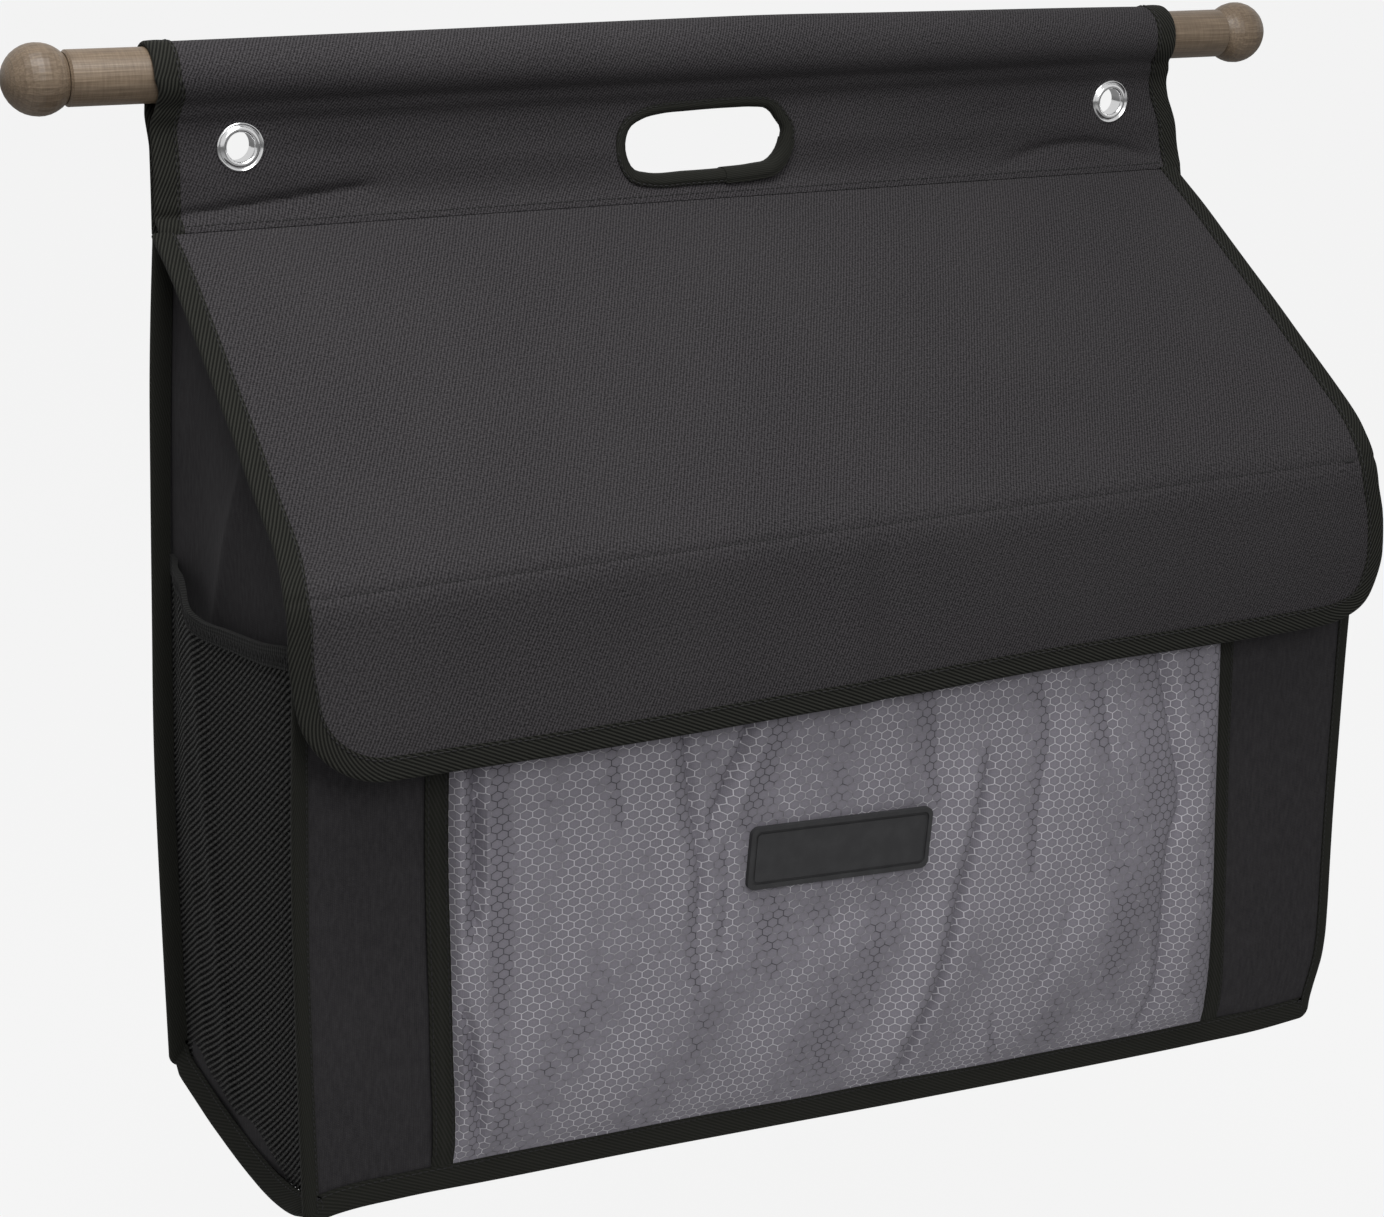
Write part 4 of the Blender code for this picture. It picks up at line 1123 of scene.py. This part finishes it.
# %% [markdown]
# ## The walls
#
# The front, the back, the two side gussets and the base are cut flat and sewn along their edges with the
# seams turned outwards. Each wall is a grid with its own slight swell, moved by the same hanging field, so
# that their edges still meet. The gussets have a fold pressed into them from the way the bag packs flat,
# which shows as a pale line.

# %% Front and back panels
PANEL = 1.3  # the thickness of the walls
CORNER_ROUND = 5.0
PANEL_FOOT = FOOT + 1
FRONT_TOP, BACK_TOP = -201, -74.3
# How far the front panel's upper edge has sunk, from left to right.
SUNK_EDGE = [-BAG_HALF, 0, BAG_HALF], [-3.0, -0.5, 0]


def round_foot(x, z, half, foot):
    """Pulls the foot's two corners in along a quarter circle."""
    past_x, past_z = np.abs(x) - (half - CORNER_ROUND), (foot + CORNER_ROUND) - z
    inside = (past_x > 0) & (past_z > 0)
    reach = np.maximum(np.maximum(past_x, past_z), 1e-6)
    length = np.hypot(past_x, past_z)
    share = np.where(inside, reach / np.maximum(length, 1e-6), 1)
    return (np.where(inside, np.sign(x) * (half - CORNER_ROUND + past_x * share), x),
            np.where(inside, foot + CORNER_ROUND - past_z * share, z))


def front_place(z, x):
    share = np.clip((FRONT_TOP - z) / (FRONT_TOP - PANEL_FOOT), 0, 1)
    swell = 1.2 * np.cos(pi * x / (2 * BAG_HALF)) * np.sin(pi * share) + ripple(x, z, 21, 0.4, 50, 160)
    x2, z2 = round_foot(x, z, 298.8, PANEL_FOOT)
    sunk = np.interp(x, *SUNK_EDGE) * soft_step((240 + z) / 40)
    return x2, -186.1 - swell * soft_step((z + 500) / 50) * soft_step((299 - np.abs(x)) / 20), z2 + sunk


front_grid = hang(grid_of(np.linspace(FRONT_TOP, PANEL_FOOT, 90), np.linspace(-299, 299, 160), front_place))
front_panel = sheet_piece("front_panel_cloth", front_grid, PANEL, "bag", "plain_lining")
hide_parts("front_panel")


def back_place(z, x):
    x2, z2 = round_foot(x, z, 298.4, PANEL_FOOT)
    return x2, 0 * x - 0.3, z2


back_grid = hang(grid_of(np.linspace(BACK_TOP, PANEL_FOOT, 90), np.linspace(298.4, -298.4, 120), back_place))
back_panel = sheet_piece("back_panel_cloth", back_grid, PANEL, "bag", "plain_lining")
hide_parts("back_panel")
print("the front panel's foot is at", front_grid[-1, [0, 80, -1], 2].round(1).tolist())

# %% Side gussets
GUSSET_X = 289.7
FLANGE = 8.6  # how far the wall's front and back strips turn out into the bound seams


def gusset_top(y, x):
    """The top edge of a side wall: just under the flap."""
    s = np.clip((-y + HINGE[0]) / cos(SLOPE), 0, FLAP_RUN)
    _, _, flap_z = flap_place(s, x, 0.0)
    return np.minimum(flap_z - 3.4, -76.5)


def gusset_place(side):
    """Gives one side wall's function: a share of the way down, and a place from the back to the front."""
    def place(share, y):
        top = gusset_top(y, side * 296.0)
        z = top + (-500.5 - top) * share
        fold_y = np.interp(-z, [142, 233, 330], [-111, -73, -50])
        fold = 3.4 * np.exp(-np.abs(y - fold_y) / 13) * soft_step((-z - 120) / 40) * soft_step((330 + z) / 90)
        swell = 2.0 * np.sin(pi * np.clip(-y / BAG_DEPTH, 0, 1)) * soft_step(share * 2)
        edge = soft_step(np.minimum(-y - 1.5, y + 186.5) / 14)
        return side * (GUSSET_X + (fold + swell + ripple(y, z, 31 + side, 0.5, 35, 120)) * edge), y, z
    return place


gusset_y = np.concatenate([[-1.9], np.linspace(-3, -184, 64), [-184.6]])
for name, side in SIDES:
    grid = grid_of(np.linspace(0, 1, 120), gusset_y[::-side], gusset_place(side))
    out = np.array([side * FLANGE, 0, 0])
    grid = np.concatenate([grid[:, :1] + out, grid, grid[:, -1:] + out], axis=1)
    gusset = sheet_piece(f"side_gusset_{name}_cloth", hang(grid), PANEL, "bag", "plain_lining")
    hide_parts(f"side_gusset_{name}")
print("the left side wall's upper edge runs from and to",
      gusset_top(np.array([-2.0, -184]), -296).round(1).tolist())

# %% Base and its board


def at_height(z):
    """Gives the function of a level sheet."""
    return lambda y, x: (x, y, z + 0 * x)


base_grid = hang(grid_of(np.linspace(-184.2, -2.4, 40), np.linspace(-289, 289, 110), at_height(-495.7)))
base = sheet_piece("base_panel_cloth", base_grid, PANEL, "bag", "plain_lining")
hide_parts("base_panel")
board_grid = hang(grid_of(np.linspace(-181, -6, 30), np.linspace(-284, 284, 80), at_height(-493.3)))
base_board = sheet_piece("base_board_sheet", board_grid, 2.4, "bag", "stiffener")
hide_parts("base_board")
print("the base is", size_of(base_grid), "mm")

# %% [markdown]
# ## The bound seams of the walls
#
# Each seam stands out from the wall as a ridge, and a tape is folded over it. The front and back tapes run
# down one side, along the foot and up the other side. Their corners at the foot are rounded. Two short ones
# close the sides of the base. The hem is a folded strip along the top of the front panel.

# %% Bind the walls


def foot_path(half, top, foot):
    """Down the left edge, along the foot and up the right edge, with round corners: (x, z) and the way in."""
    side = [(-half, z, 1, 0) for z in np.linspace(top, foot + CORNER_ROUND, 90)[:-1]]
    corner = [(-half + CORNER_ROUND * (1 - cos(t)), foot + CORNER_ROUND * (1 - sin(t)), cos(t), sin(t))
              for t in np.linspace(0, pi / 2, 9)]
    floor = [(x, foot, 0, 1) for x in np.linspace(-half + CORNER_ROUND, 0, 90)[1:]]
    half_way = side + corner + floor
    return np.array(half_way + [(-x, z, -a, b) for x, z, a, b in half_way[-2::-1]])


def bind_wall(name, y, facing, top, gap, node, half, wide, slim):
    """A wall's tape, this wide along the foot. slim is the share of that width down the sides."""
    found = foot_path(half, top, FOOT)
    path = hang(np.stack([found[:, 0], np.full(len(found), y), found[:, 1]], axis=1))
    inward = np.stack([found[:, 2], 0 * found[:, 2], found[:, 3]], axis=1)
    inward *= (slim + (1 - slim) * found[:, 3] + ripple(found[:, 0], found[:, 1], 51, 0.02, 60, 150))[:, None]
    outward = same((0, facing, 0), len(found))
    piece = sweep(name, path, inward, outward, section(wide, gap, 0.7), "bag", "binding_tape")
    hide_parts(node)
    seam_tapes.append(piece)
    stitches(name + "_stitches", path + inward * (wide - 1.6) + outward * (gap + 0.75), outward, "bag")
    print(name, "is", round(run_along(path)[-1]), "mm long")


seam_tapes = [hole_tape, tape_end]
bind_wall("front_tape_cloth", -184.8, -1, -206.5, 1.5, "front_binding", 299.0, 11.8, 0.5)
bind_wall("back_tape_cloth", -1.6, 1, -74.0, 1.5, "back_binding", 298.6, 12.0, 0.66)
for name, side in SIDES:
    ys = np.linspace(-184.6, -1.6, 50)
    ends = soft_step((-ys - 168) / 15) + soft_step((ys + 15) / 12)  # the two ends tuck in
    path = hang(np.stack([side * (297.4 - 1.6 * ends), ys, -505.8 + 1.2 * ends], axis=1))
    inward, outward = same((-side * 0.6, 0, 0.8), 50), same((side * 0.8, 0, 0.6), 50)
    piece = sweep(f"base_tape_{name}_cloth", path, inward, outward, section(9.6, 1.2, 0.7), "bag",
                  "binding_tape")
    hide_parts(f"base_binding_{name}")
    seam_tapes.append(piece)
    stitches(f"base_tape_{name}_stitches", path + inward * 7.8 + outward * 2.0, outward, "bag")

# %% Hem the front panel
hem_x = np.linspace(-288.5, 288.5, 120)
hem_edge = hang(np.stack([hem_x, 0 * hem_x - 185.5, -199.6 + np.interp(hem_x, *SUNK_EDGE)], axis=1))
hem = sweep("front_hem_cloth", hem_edge, same((0, 0, -1), 120), same((0, -1, 0), 120),
            section(19, 1.15, 0.7, puff=0.05), "bag", "charcoal_twill")
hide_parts("front_hem")
print("the hem is", round(run_along(hem_edge)[-1]), "mm long")

# %% [markdown]
# ## The front pocket
#
# The pocket is wider and taller than the place it is sewn to, so its slack gathers into folds that run down
# from under the drop. A cloth simulation would put folds anywhere, and here the photograph shows which ones
# matter: a long one from the middle to the foot, a V beside the label and one near each side. Each is a
# narrow valley with a soft ridge beside it, along a line through measured points. Broader waves fill the
# space between them.

# %% The front pocket's folds
CREASES = [  # how deep, which side the ridge is on, how wide, and the line's (x, z) points on the hanging bag
    (4.8, 1, 2.4, [(-73, -250), (-78, -287), (-81, -297), (-87, -308), (-92, -321), (-96, -331)]),
    (3.9, -1, 2.3, [(-116, -240), (-112, -291), (-108, -323), (-102, -360), (-102, -377)]),
    (5.6, -1, 2.6, [(61, -334), (58, -357), (50, -399), (38, -453), (30, -472), (24, -500)]),
    (4.2, 1, 3.4, [(163, -240), (166, -287), (170, -305), (178, -339), (183, -356)]),
    (3.8, 1, 3.2, [(184, -372), (180, -389), (179, -410), (181, -447), (182, -480), (177, -500)]),
    (1.4, -1, 2.0, [(77, -476), (82, -490), (87, -500)]),
    (0.8, -1, 3.4, [(-147, -290), (-143, -326)]),
    (1.0, -1, 3.4, [(-103, -388), (-100, -416)]),
    (0.9, -1, 3.2, [(-88, -345), (-86, -366), (-88, -395)]),
    (1.5, -1, 5.2, [(29, -290), (32, -329), (38, -352)]),
    (1.3, -1, 4.2, [(92, -290), (97, -313), (93, -347), (93, -386)]),
    (0.9, -1, 3.0, [(130, -306), (134, -331)]),
    (0.8, -1, 4.6, [(118, -410), (109, -443), (99, -462)]),
]


def folds(x, z):
    """How far the pocket's folds stand out of its crown."""
    total = ripple(x, z * 0.3, 41, 0.4, 48, 140)
    for depth, ridge_side, width, points in CREASES:
        line = np.array(points[::-1], float)
        middle = curve(z, line[:, 1], line[:, 0])
        top, foot = line[-1, 1], line[0, 1]
        there = soft_step((z - foot + 16) / 24) * soft_step((top + 20 - z) / 28)
        d = x - middle
        valley = -depth * np.exp(-np.abs(d / width) ** 1.5)
        ridge = 0.5 * depth * np.exp(-((d - ridge_side * 4.2 * width) / (3.8 * width)) ** 2)
        total = total + (valley + ridge) * there
    # The cloth stands fuller at the right, most so beside the tape. Faint waves cross its lower part.
    full = 5.0 * np.exp(-((x - 150) / 58) ** 2) * soft_step((-z - 290) / 60) * soft_step((z + 498) / 70)
    full = full + 4.2 * soft_step((x - 182) / 30)
    full = full + 0.8 * np.sin(2 * pi * (0.83 * x - 0.55 * z) / 66) * soft_step((-z - 370) / 60)
    # It is hollow below the label, and a short dent crosses it at the right.
    hollow = 2.4 * np.exp(-((x + 14) / 62) ** 2 - ((z + 392) / 15) ** 2)
    dent = 2.6 * np.exp(-((z + 427 + (x - 208) * 0.55) / 2.6) ** 2 - ((x - 210) / 8) ** 2)
    return total + full - dent - hollow


def pleat(inset, z):
    """Beside the left tape the cloth turns in and comes out again, along a line that wanders."""
    line = curve(-z, [234, 376, 386, 400, 426, 455, 506], [9.5, 9.5, 8, 3, 8, 11, 13.5])
    depth = 4.8 * curve(-z, [234, 362, 386, 402, 440, 480, 506], [1, 1, 0.2, 0.4, 1.3, 2.0, 2.0])
    d = inset - line
    return -depth * np.exp(-np.abs(d / np.where(d < 0, 4.2, 1.4)) ** 2) * soft_step(inset / 4)


deepest = folds(np.linspace(-220, 220, 300), np.full(300, -350.0)).min()
print("at the label's height the deepest fold goes in by", round(-float(deepest), 1), "mm")

# %% The front pocket's surface
POCKET_HALF = 226.0
POCKET_TOP, POCKET_FOOT = -234.0, -499
LABEL_X, _, LABEL_Z = middle_of("label_patch")
LABEL_PLANE = -197.8  # where the cloth lies flat against the label
FLAT_HALF = 50, 14  # half of the flat place behind the label, sideways and upwards
# How far the cloth rises beside each tape, by distance from the edge, and its fullness from the mouth down.
RISE_LEFT = [0, 2, 5, 11, 14, 29, 38, 226], [0, 5.0, 6.6, 7.7, 7.8, 6.1, 6.4, 6.9]
RISE_RIGHT = [0, 1.5, 4, 12, 226], [0, 4.2, 6.2, 6.8, 6.8]
FULLNESS = ([234, 262, 285, 310, 358, 430, 466, 482, 493],
            [0.30, 0.72, 0.98, 1.04, 1.04, 0.97, 0.66, 0.32, 0.0])
# How far out the pocket's edges are, from the mouth down.
LEFT_OUT = [234, 340, 378, 410, 443, 460, 506], [227.2, 227.4, 226.5, 225.8, 225.2, 224.6, 225.0]
RIGHT_OUT = [200, 280, 345, 400, 440, 470, 506], [203.8, 208.6, 212.4, 216.1, 218.3, 220.2, 223.5]


def pocket_edge(z, side):
    """How far out the pocket's edge is. The right one leans."""
    return curve(-z, *(LEFT_OUT if side < 0 else RIGHT_OUT))


def foot_tuck(z, y, tucked):
    """From y, back to the tucked place where the tape along the foot covers the edge."""
    return tucked + (y - tucked) * soft_step((z + 494) / 10)


def pocket_place(z, x):
    """A point of the pocket. It rises from its edges, gathers into folds and lies flat behind the label."""
    inset = POCKET_HALF - np.abs(x)
    rise = np.where(x < 0, curve(inset, *RISE_LEFT) + pleat(inset, z), curve(inset, *RISE_RIGHT))
    crown = (rise + 2.2 * soft_step(inset / (POCKET_HALF / 2))) * curve(-z, *FULLNESS)
    pinned = soft_step(inset / 13) * soft_step((z + 494) / 14) * soft_step((-z - 232) / 10)
    beside = np.maximum(np.abs(x - LABEL_X) - FLAT_HALF[0], 0) / 9
    above = np.maximum(np.abs(z - LABEL_Z) - FLAT_HALF[1], 0) / 7
    flat = np.exp(-beside ** 2 - above ** 2)
    x = x * np.where(x < 0, pocket_edge(z, -1), pocket_edge(z, 1)) / POCKET_HALF
    hung = hang(np.stack(np.broadcast_arrays(x, -190.0, z), axis=-1))
    y = foot_tuck(z, -188.4, -186.7) - crown - folds(hung[..., 0], hung[..., 2]) * pinned
    return x, y * (1 - flat) + LABEL_PLANE * flat, z


pocket_rows = np.linspace(POCKET_TOP, POCKET_FOOT, 140)
pocket_grid = hang(grid_of(pocket_rows, np.linspace(-POCKET_HALF, POCKET_HALF, 330), pocket_place))
pocket = sheet_piece("front_pocket_cloth", pocket_grid, 0.6, "bag", "honeycomb_ripstop")
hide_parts("front_pocket")

# %% [markdown]
# ## The label
#
# A moulded plate is sewn to the pocket, a little left of its middle, and the soft cloth lets it hang
# aslant. A CAD solid must not be moved, so the plate's corners are copied, turned about their middle and
# made into a piece of its own that stands for it.

# %% Hang the label on the pocket
LABEL_TURN = radians(3.4)  # clockwise, seen from the front
solid = frame["nodes"]["label_patch"]
points = np.array([corner.co for corner in solid.data.vertices], float) / MM
from_middle = points[:, ::2] - (LABEL_X, LABEL_Z)
spun = from_middle @ np.array([[cos(LABEL_TURN), -sin(LABEL_TURN)], [sin(LABEL_TURN), cos(LABEL_TURN)]])
points[:, ::2] = spun + (LABEL_X, LABEL_Z)
faces = [list(face.vertices) for face in solid.data.polygons]
label = add_mesh("label_plate", points, faces, points[np.concatenate(faces)][:, ::2], "bag", "moulded_rubber")
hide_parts("label_patch")
print("the label is", np.ptp(points, axis=0).round(1).tolist(), "mm over its turned corners")

# %% [markdown]
# ## What edges the pocket
#
# A flat tape is sewn down each side of the pocket, over its raw edge. The pocket's mouth has an elastic
# inside, under the drop. Both are thin swept strips with a flat section, laid on the pocket's own surface
# so that they rise and fall with it.

# %% Pocket tapes


def strip_section(width, thick):
    """A flat strip with slightly round edges, from the cloth's face outwards."""
    half = width / 2
    top = [(half * s, thick * (1 - 0.35 * abs(s) ** 6)) for s in np.linspace(1, -1, 13)]
    loop = np.array(top + [(-half, 0), (half, 0)])
    return loop, np.append(loop[:13, 0], [-half, half])


for name, side in SIDES:
    zs = np.linspace(-206, POCKET_FOOT, 110)
    middle_x = side * (pocket_edge(zs, side) + 5.6)
    path = hang(np.stack([middle_x, foot_tuck(zs, -187.5, -185.7), zs], axis=1))
    across, out = same((1, 0, 0), 110), same((0, -1, 0), 110)
    tape = sweep(f"pocket_tape_{name}_cloth", path, across, out, strip_section(11.4, 1.2), "bag",
                 "binding_tape")
    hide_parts(f"pocket_tape_{name}")
    seam_tapes.append(tape)
    for where, shift in (("inner", -side * 4.3), ("outer", side * 4.3)):
        line = path + across * shift + out * 1.15
        stitches(f"pocket_tape_{name}_{where}_stitches", line[:-4], out[:-4], "bag")

for tape in seam_tapes:  # a finer tape than the flap's, whose ribs hardly show
    tape.data.materials[0] = seam_tape

# %% The elastic in the pocket's mouth
MOUTH_ELASTIC = 0.9  # its thickness
band_rows = np.linspace(POCKET_TOP + 0.5, POCKET_TOP - 8.8, 8)
band = hang(grid_of(band_rows, np.linspace(-POCKET_HALF + 2, POCKET_HALF - 2, 200), pocket_place))
band = band - [0, MOUTH_ELASTIC, 0]
pocket_elastic = sheet_piece("pocket_elastic_band", band, MOUTH_ELASTIC, "bag", "elastic_band")
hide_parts("pocket_elastic")
print("the pocket's elastic is", size_of(band), "mm")

# %% [markdown]
# ## The side net pockets
#
# A net pocket is pulled tight along its foot and its two sides, and its elastic mouth stands away from the
# wall, droops and leaves a dark gap that a hand goes into. It is a grid again, whose swell is largest at
# the mouth. The elastic follows the mouth's line, and a zigzag of thread holds it.

# %% The shape of a net pocket
NET_TOP = -232.0
NET_X = 290.6  # how far out the net is where it is sewn down


def net_mouth(y):
    """How far the mouth rises or droops, from back to front."""
    return curve(-y, [2, 12, 46, 57, 72, 103, 140, 171, 186], [0.5, 0, -0.5, -5, -9, -7, -2, 4, 5])


def net_swell(y, down):
    """How far the net stands out of the wall, by place along it and distance below the mouth."""
    bow = np.sin(pi * np.clip(-y / BAG_DEPTH, 0, 1)) ** 0.8
    lobe = 3.5 * np.exp(-((y + 60) / 26) ** 2) - 2.0 * np.exp(-((y + 120) / 30) ** 2)
    tucks = np.exp(-((y + 30 + 0.04 * down) / 8) ** 2) + np.exp(-((y + 64 + 0.05 * down) / 9) ** 2)
    return bow * (10.5 * np.exp(-down / 210) + lobe * np.exp(-down / 90) + 1.4 * tucks)


def net_place(side):
    """Gives one net's function: a distance below its mouth, and a place from the back to the front."""
    def place(down, y):
        z = NET_TOP + net_mouth(y) * np.exp(-down / 60) - down
        held = soft_step((z + 503) / 30) * soft_step(np.minimum(-y - 1, y + 187) / 22)
        return side * (NET_X + net_swell(y, down) * held), y, z
    return place


print("the net stands out by up to", round(float(net_swell(np.arange(-188, 0), 0).max()), 1), "mm")

# %% Net pockets and their elastic mouths
NET_ELASTIC = 2.6  # its thickness
net_y = np.linspace(-3.2, -183.2, 90)
for name, side in SIDES:
    ys = net_y[::-side]
    grid = hang(grid_of(np.linspace(0, 269, 130), ys, net_place(side)))
    net = sheet_piece(f"mesh_pocket_{name}_cloth", grid, 0.8, "bag", "pocket_net")
    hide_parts(f"mesh_pocket_{name}")
    band = hang(grid_of(np.linspace(-0.8, 9.2, 7), ys, net_place(side)))
    band += grid_normals(band)
    elastic = sheet_piece(f"mesh_elastic_{name}_band", band, NET_ELASTIC, "bag", "elastic_band")
    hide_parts(f"mesh_elastic_{name}")
    normals = grid_normals(band)
    columns = np.arange(3, len(ys) - 3)
    rows = np.where(columns % 2, 5, 2)
    zigzag = band[rows, columns] + normals[rows, columns] * 0.15
    threads(f"mesh_elastic_{name}_zigzag", (zigzag[:-1], zigzag[1:]), normals[rows, columns][:-1], 0.3, "bag")

# %% [markdown]
# ## The stage and the light
#
# The photograph is a cut-out on near-white, lit from above and in front by large soft lamps. A pale floor
# lies well below the bag, and the world is pale for the camera. Neither is made white by strong lamps,
# which would bleach the bag: rays that come straight from the eye see a fixed pale tone, most of which is
# mixed into the floor too, so the floor still takes the bag's shadow.

# %% The pale floor
PALE = (0.913, 0.913, 0.913)
FLOOR_REACH, FLOOR_Z = 12.0, -0.86  # in metres
corners = [(x * FLOOR_REACH, y * FLOOR_REACH, FLOOR_Z) for x, y in ((-1, -1), (1, -1), (1, 1), (-1, 1))]
floor_mesh = bpy.data.meshes.new("floor")
floor_mesh.from_pydata(corners, [], [(0, 1, 2, 3)])
floor = put("floor", floor_mesh)
floor_material = bpy.data.materials.new("pale_floor")
floor_material.use_nodes = True
floor_tree = floor_material.node_tree
floor_tree.nodes.clear()
start = Signal(floor_tree)
seen = start.add("ShaderNodeLightPath")
matt = start.add("ShaderNodeBsdfDiffuse", {}, {"Color": (0.86, 0.86, 0.86, 1)})
glow = start.add("ShaderNodeEmission", {}, {"Color": (*PALE, 1), "Strength": 1.125})
mixed = start.add("ShaderNodeMixShader", {}, {0: seen * 0.85, 1: matt, 2: glow})
floor_tree.links.new(mixed.socket, floor_tree.nodes.new("ShaderNodeOutputMaterial").inputs["Surface"])
floor_mesh.materials.append(floor_material)
print("the floor is at", FLOOR_Z, "m")

# %% The world's light
WORLD_LIGHT = 0.19  # what the bag gets of the world's light
MIRRORED_LIGHT = 0.75  # what shiny metal mirrors of it
world = bpy.data.worlds.new("studio")
world.use_nodes = True
bpy.context.scene.world = world
tree = world.node_tree
tree.nodes.clear()
start = Signal(tree)
rays = start.add("ShaderNodeLightPath").socket.node
straight, mirrored = (Signal(tree, rays.outputs[name]) for name in ("Is Camera Ray", "Is Glossy Ray"))
brightness = WORLD_LIGHT + straight * (1 - WORLD_LIGHT) + mirrored * (MIRRORED_LIGHT - WORLD_LIGHT)
backdrop = start.add("ShaderNodeBackground", {}, {"Color": (*PALE, 1), "Strength": brightness})
tree.links.new(backdrop.socket, tree.nodes.new("ShaderNodeOutputWorld").inputs["Surface"])
print("the world lights the bag with", WORLD_LIGHT)

# %% The lamps
AIM = Vector((0, -0.1, -0.3))  # the middle of the bag's front


def lamp(name, place, size, power):
    """A soft lamp, size[0] by size[1] metres, that points at the bag."""
    data = bpy.data.lights.new(name, "AREA")
    data.shape, data.size, data.size_y, data.energy = "RECTANGLE", size[0], size[1], power
    light = put(name, data)
    light.location = place
    light.rotation_euler = (AIM - Vector(place)).to_track_quat("-Z", "Y").to_euler()
    print(name, "lamp of", power, "W")


lamp("overhead", (-0.32, -0.42, 0.73), (0.7, 0.45), 7.2)
lamp("front", (-0.37, -2.21, 1.15), (1.4, 1.0), 14.9)
bpy.context.scene.view_settings.view_transform = "Standard"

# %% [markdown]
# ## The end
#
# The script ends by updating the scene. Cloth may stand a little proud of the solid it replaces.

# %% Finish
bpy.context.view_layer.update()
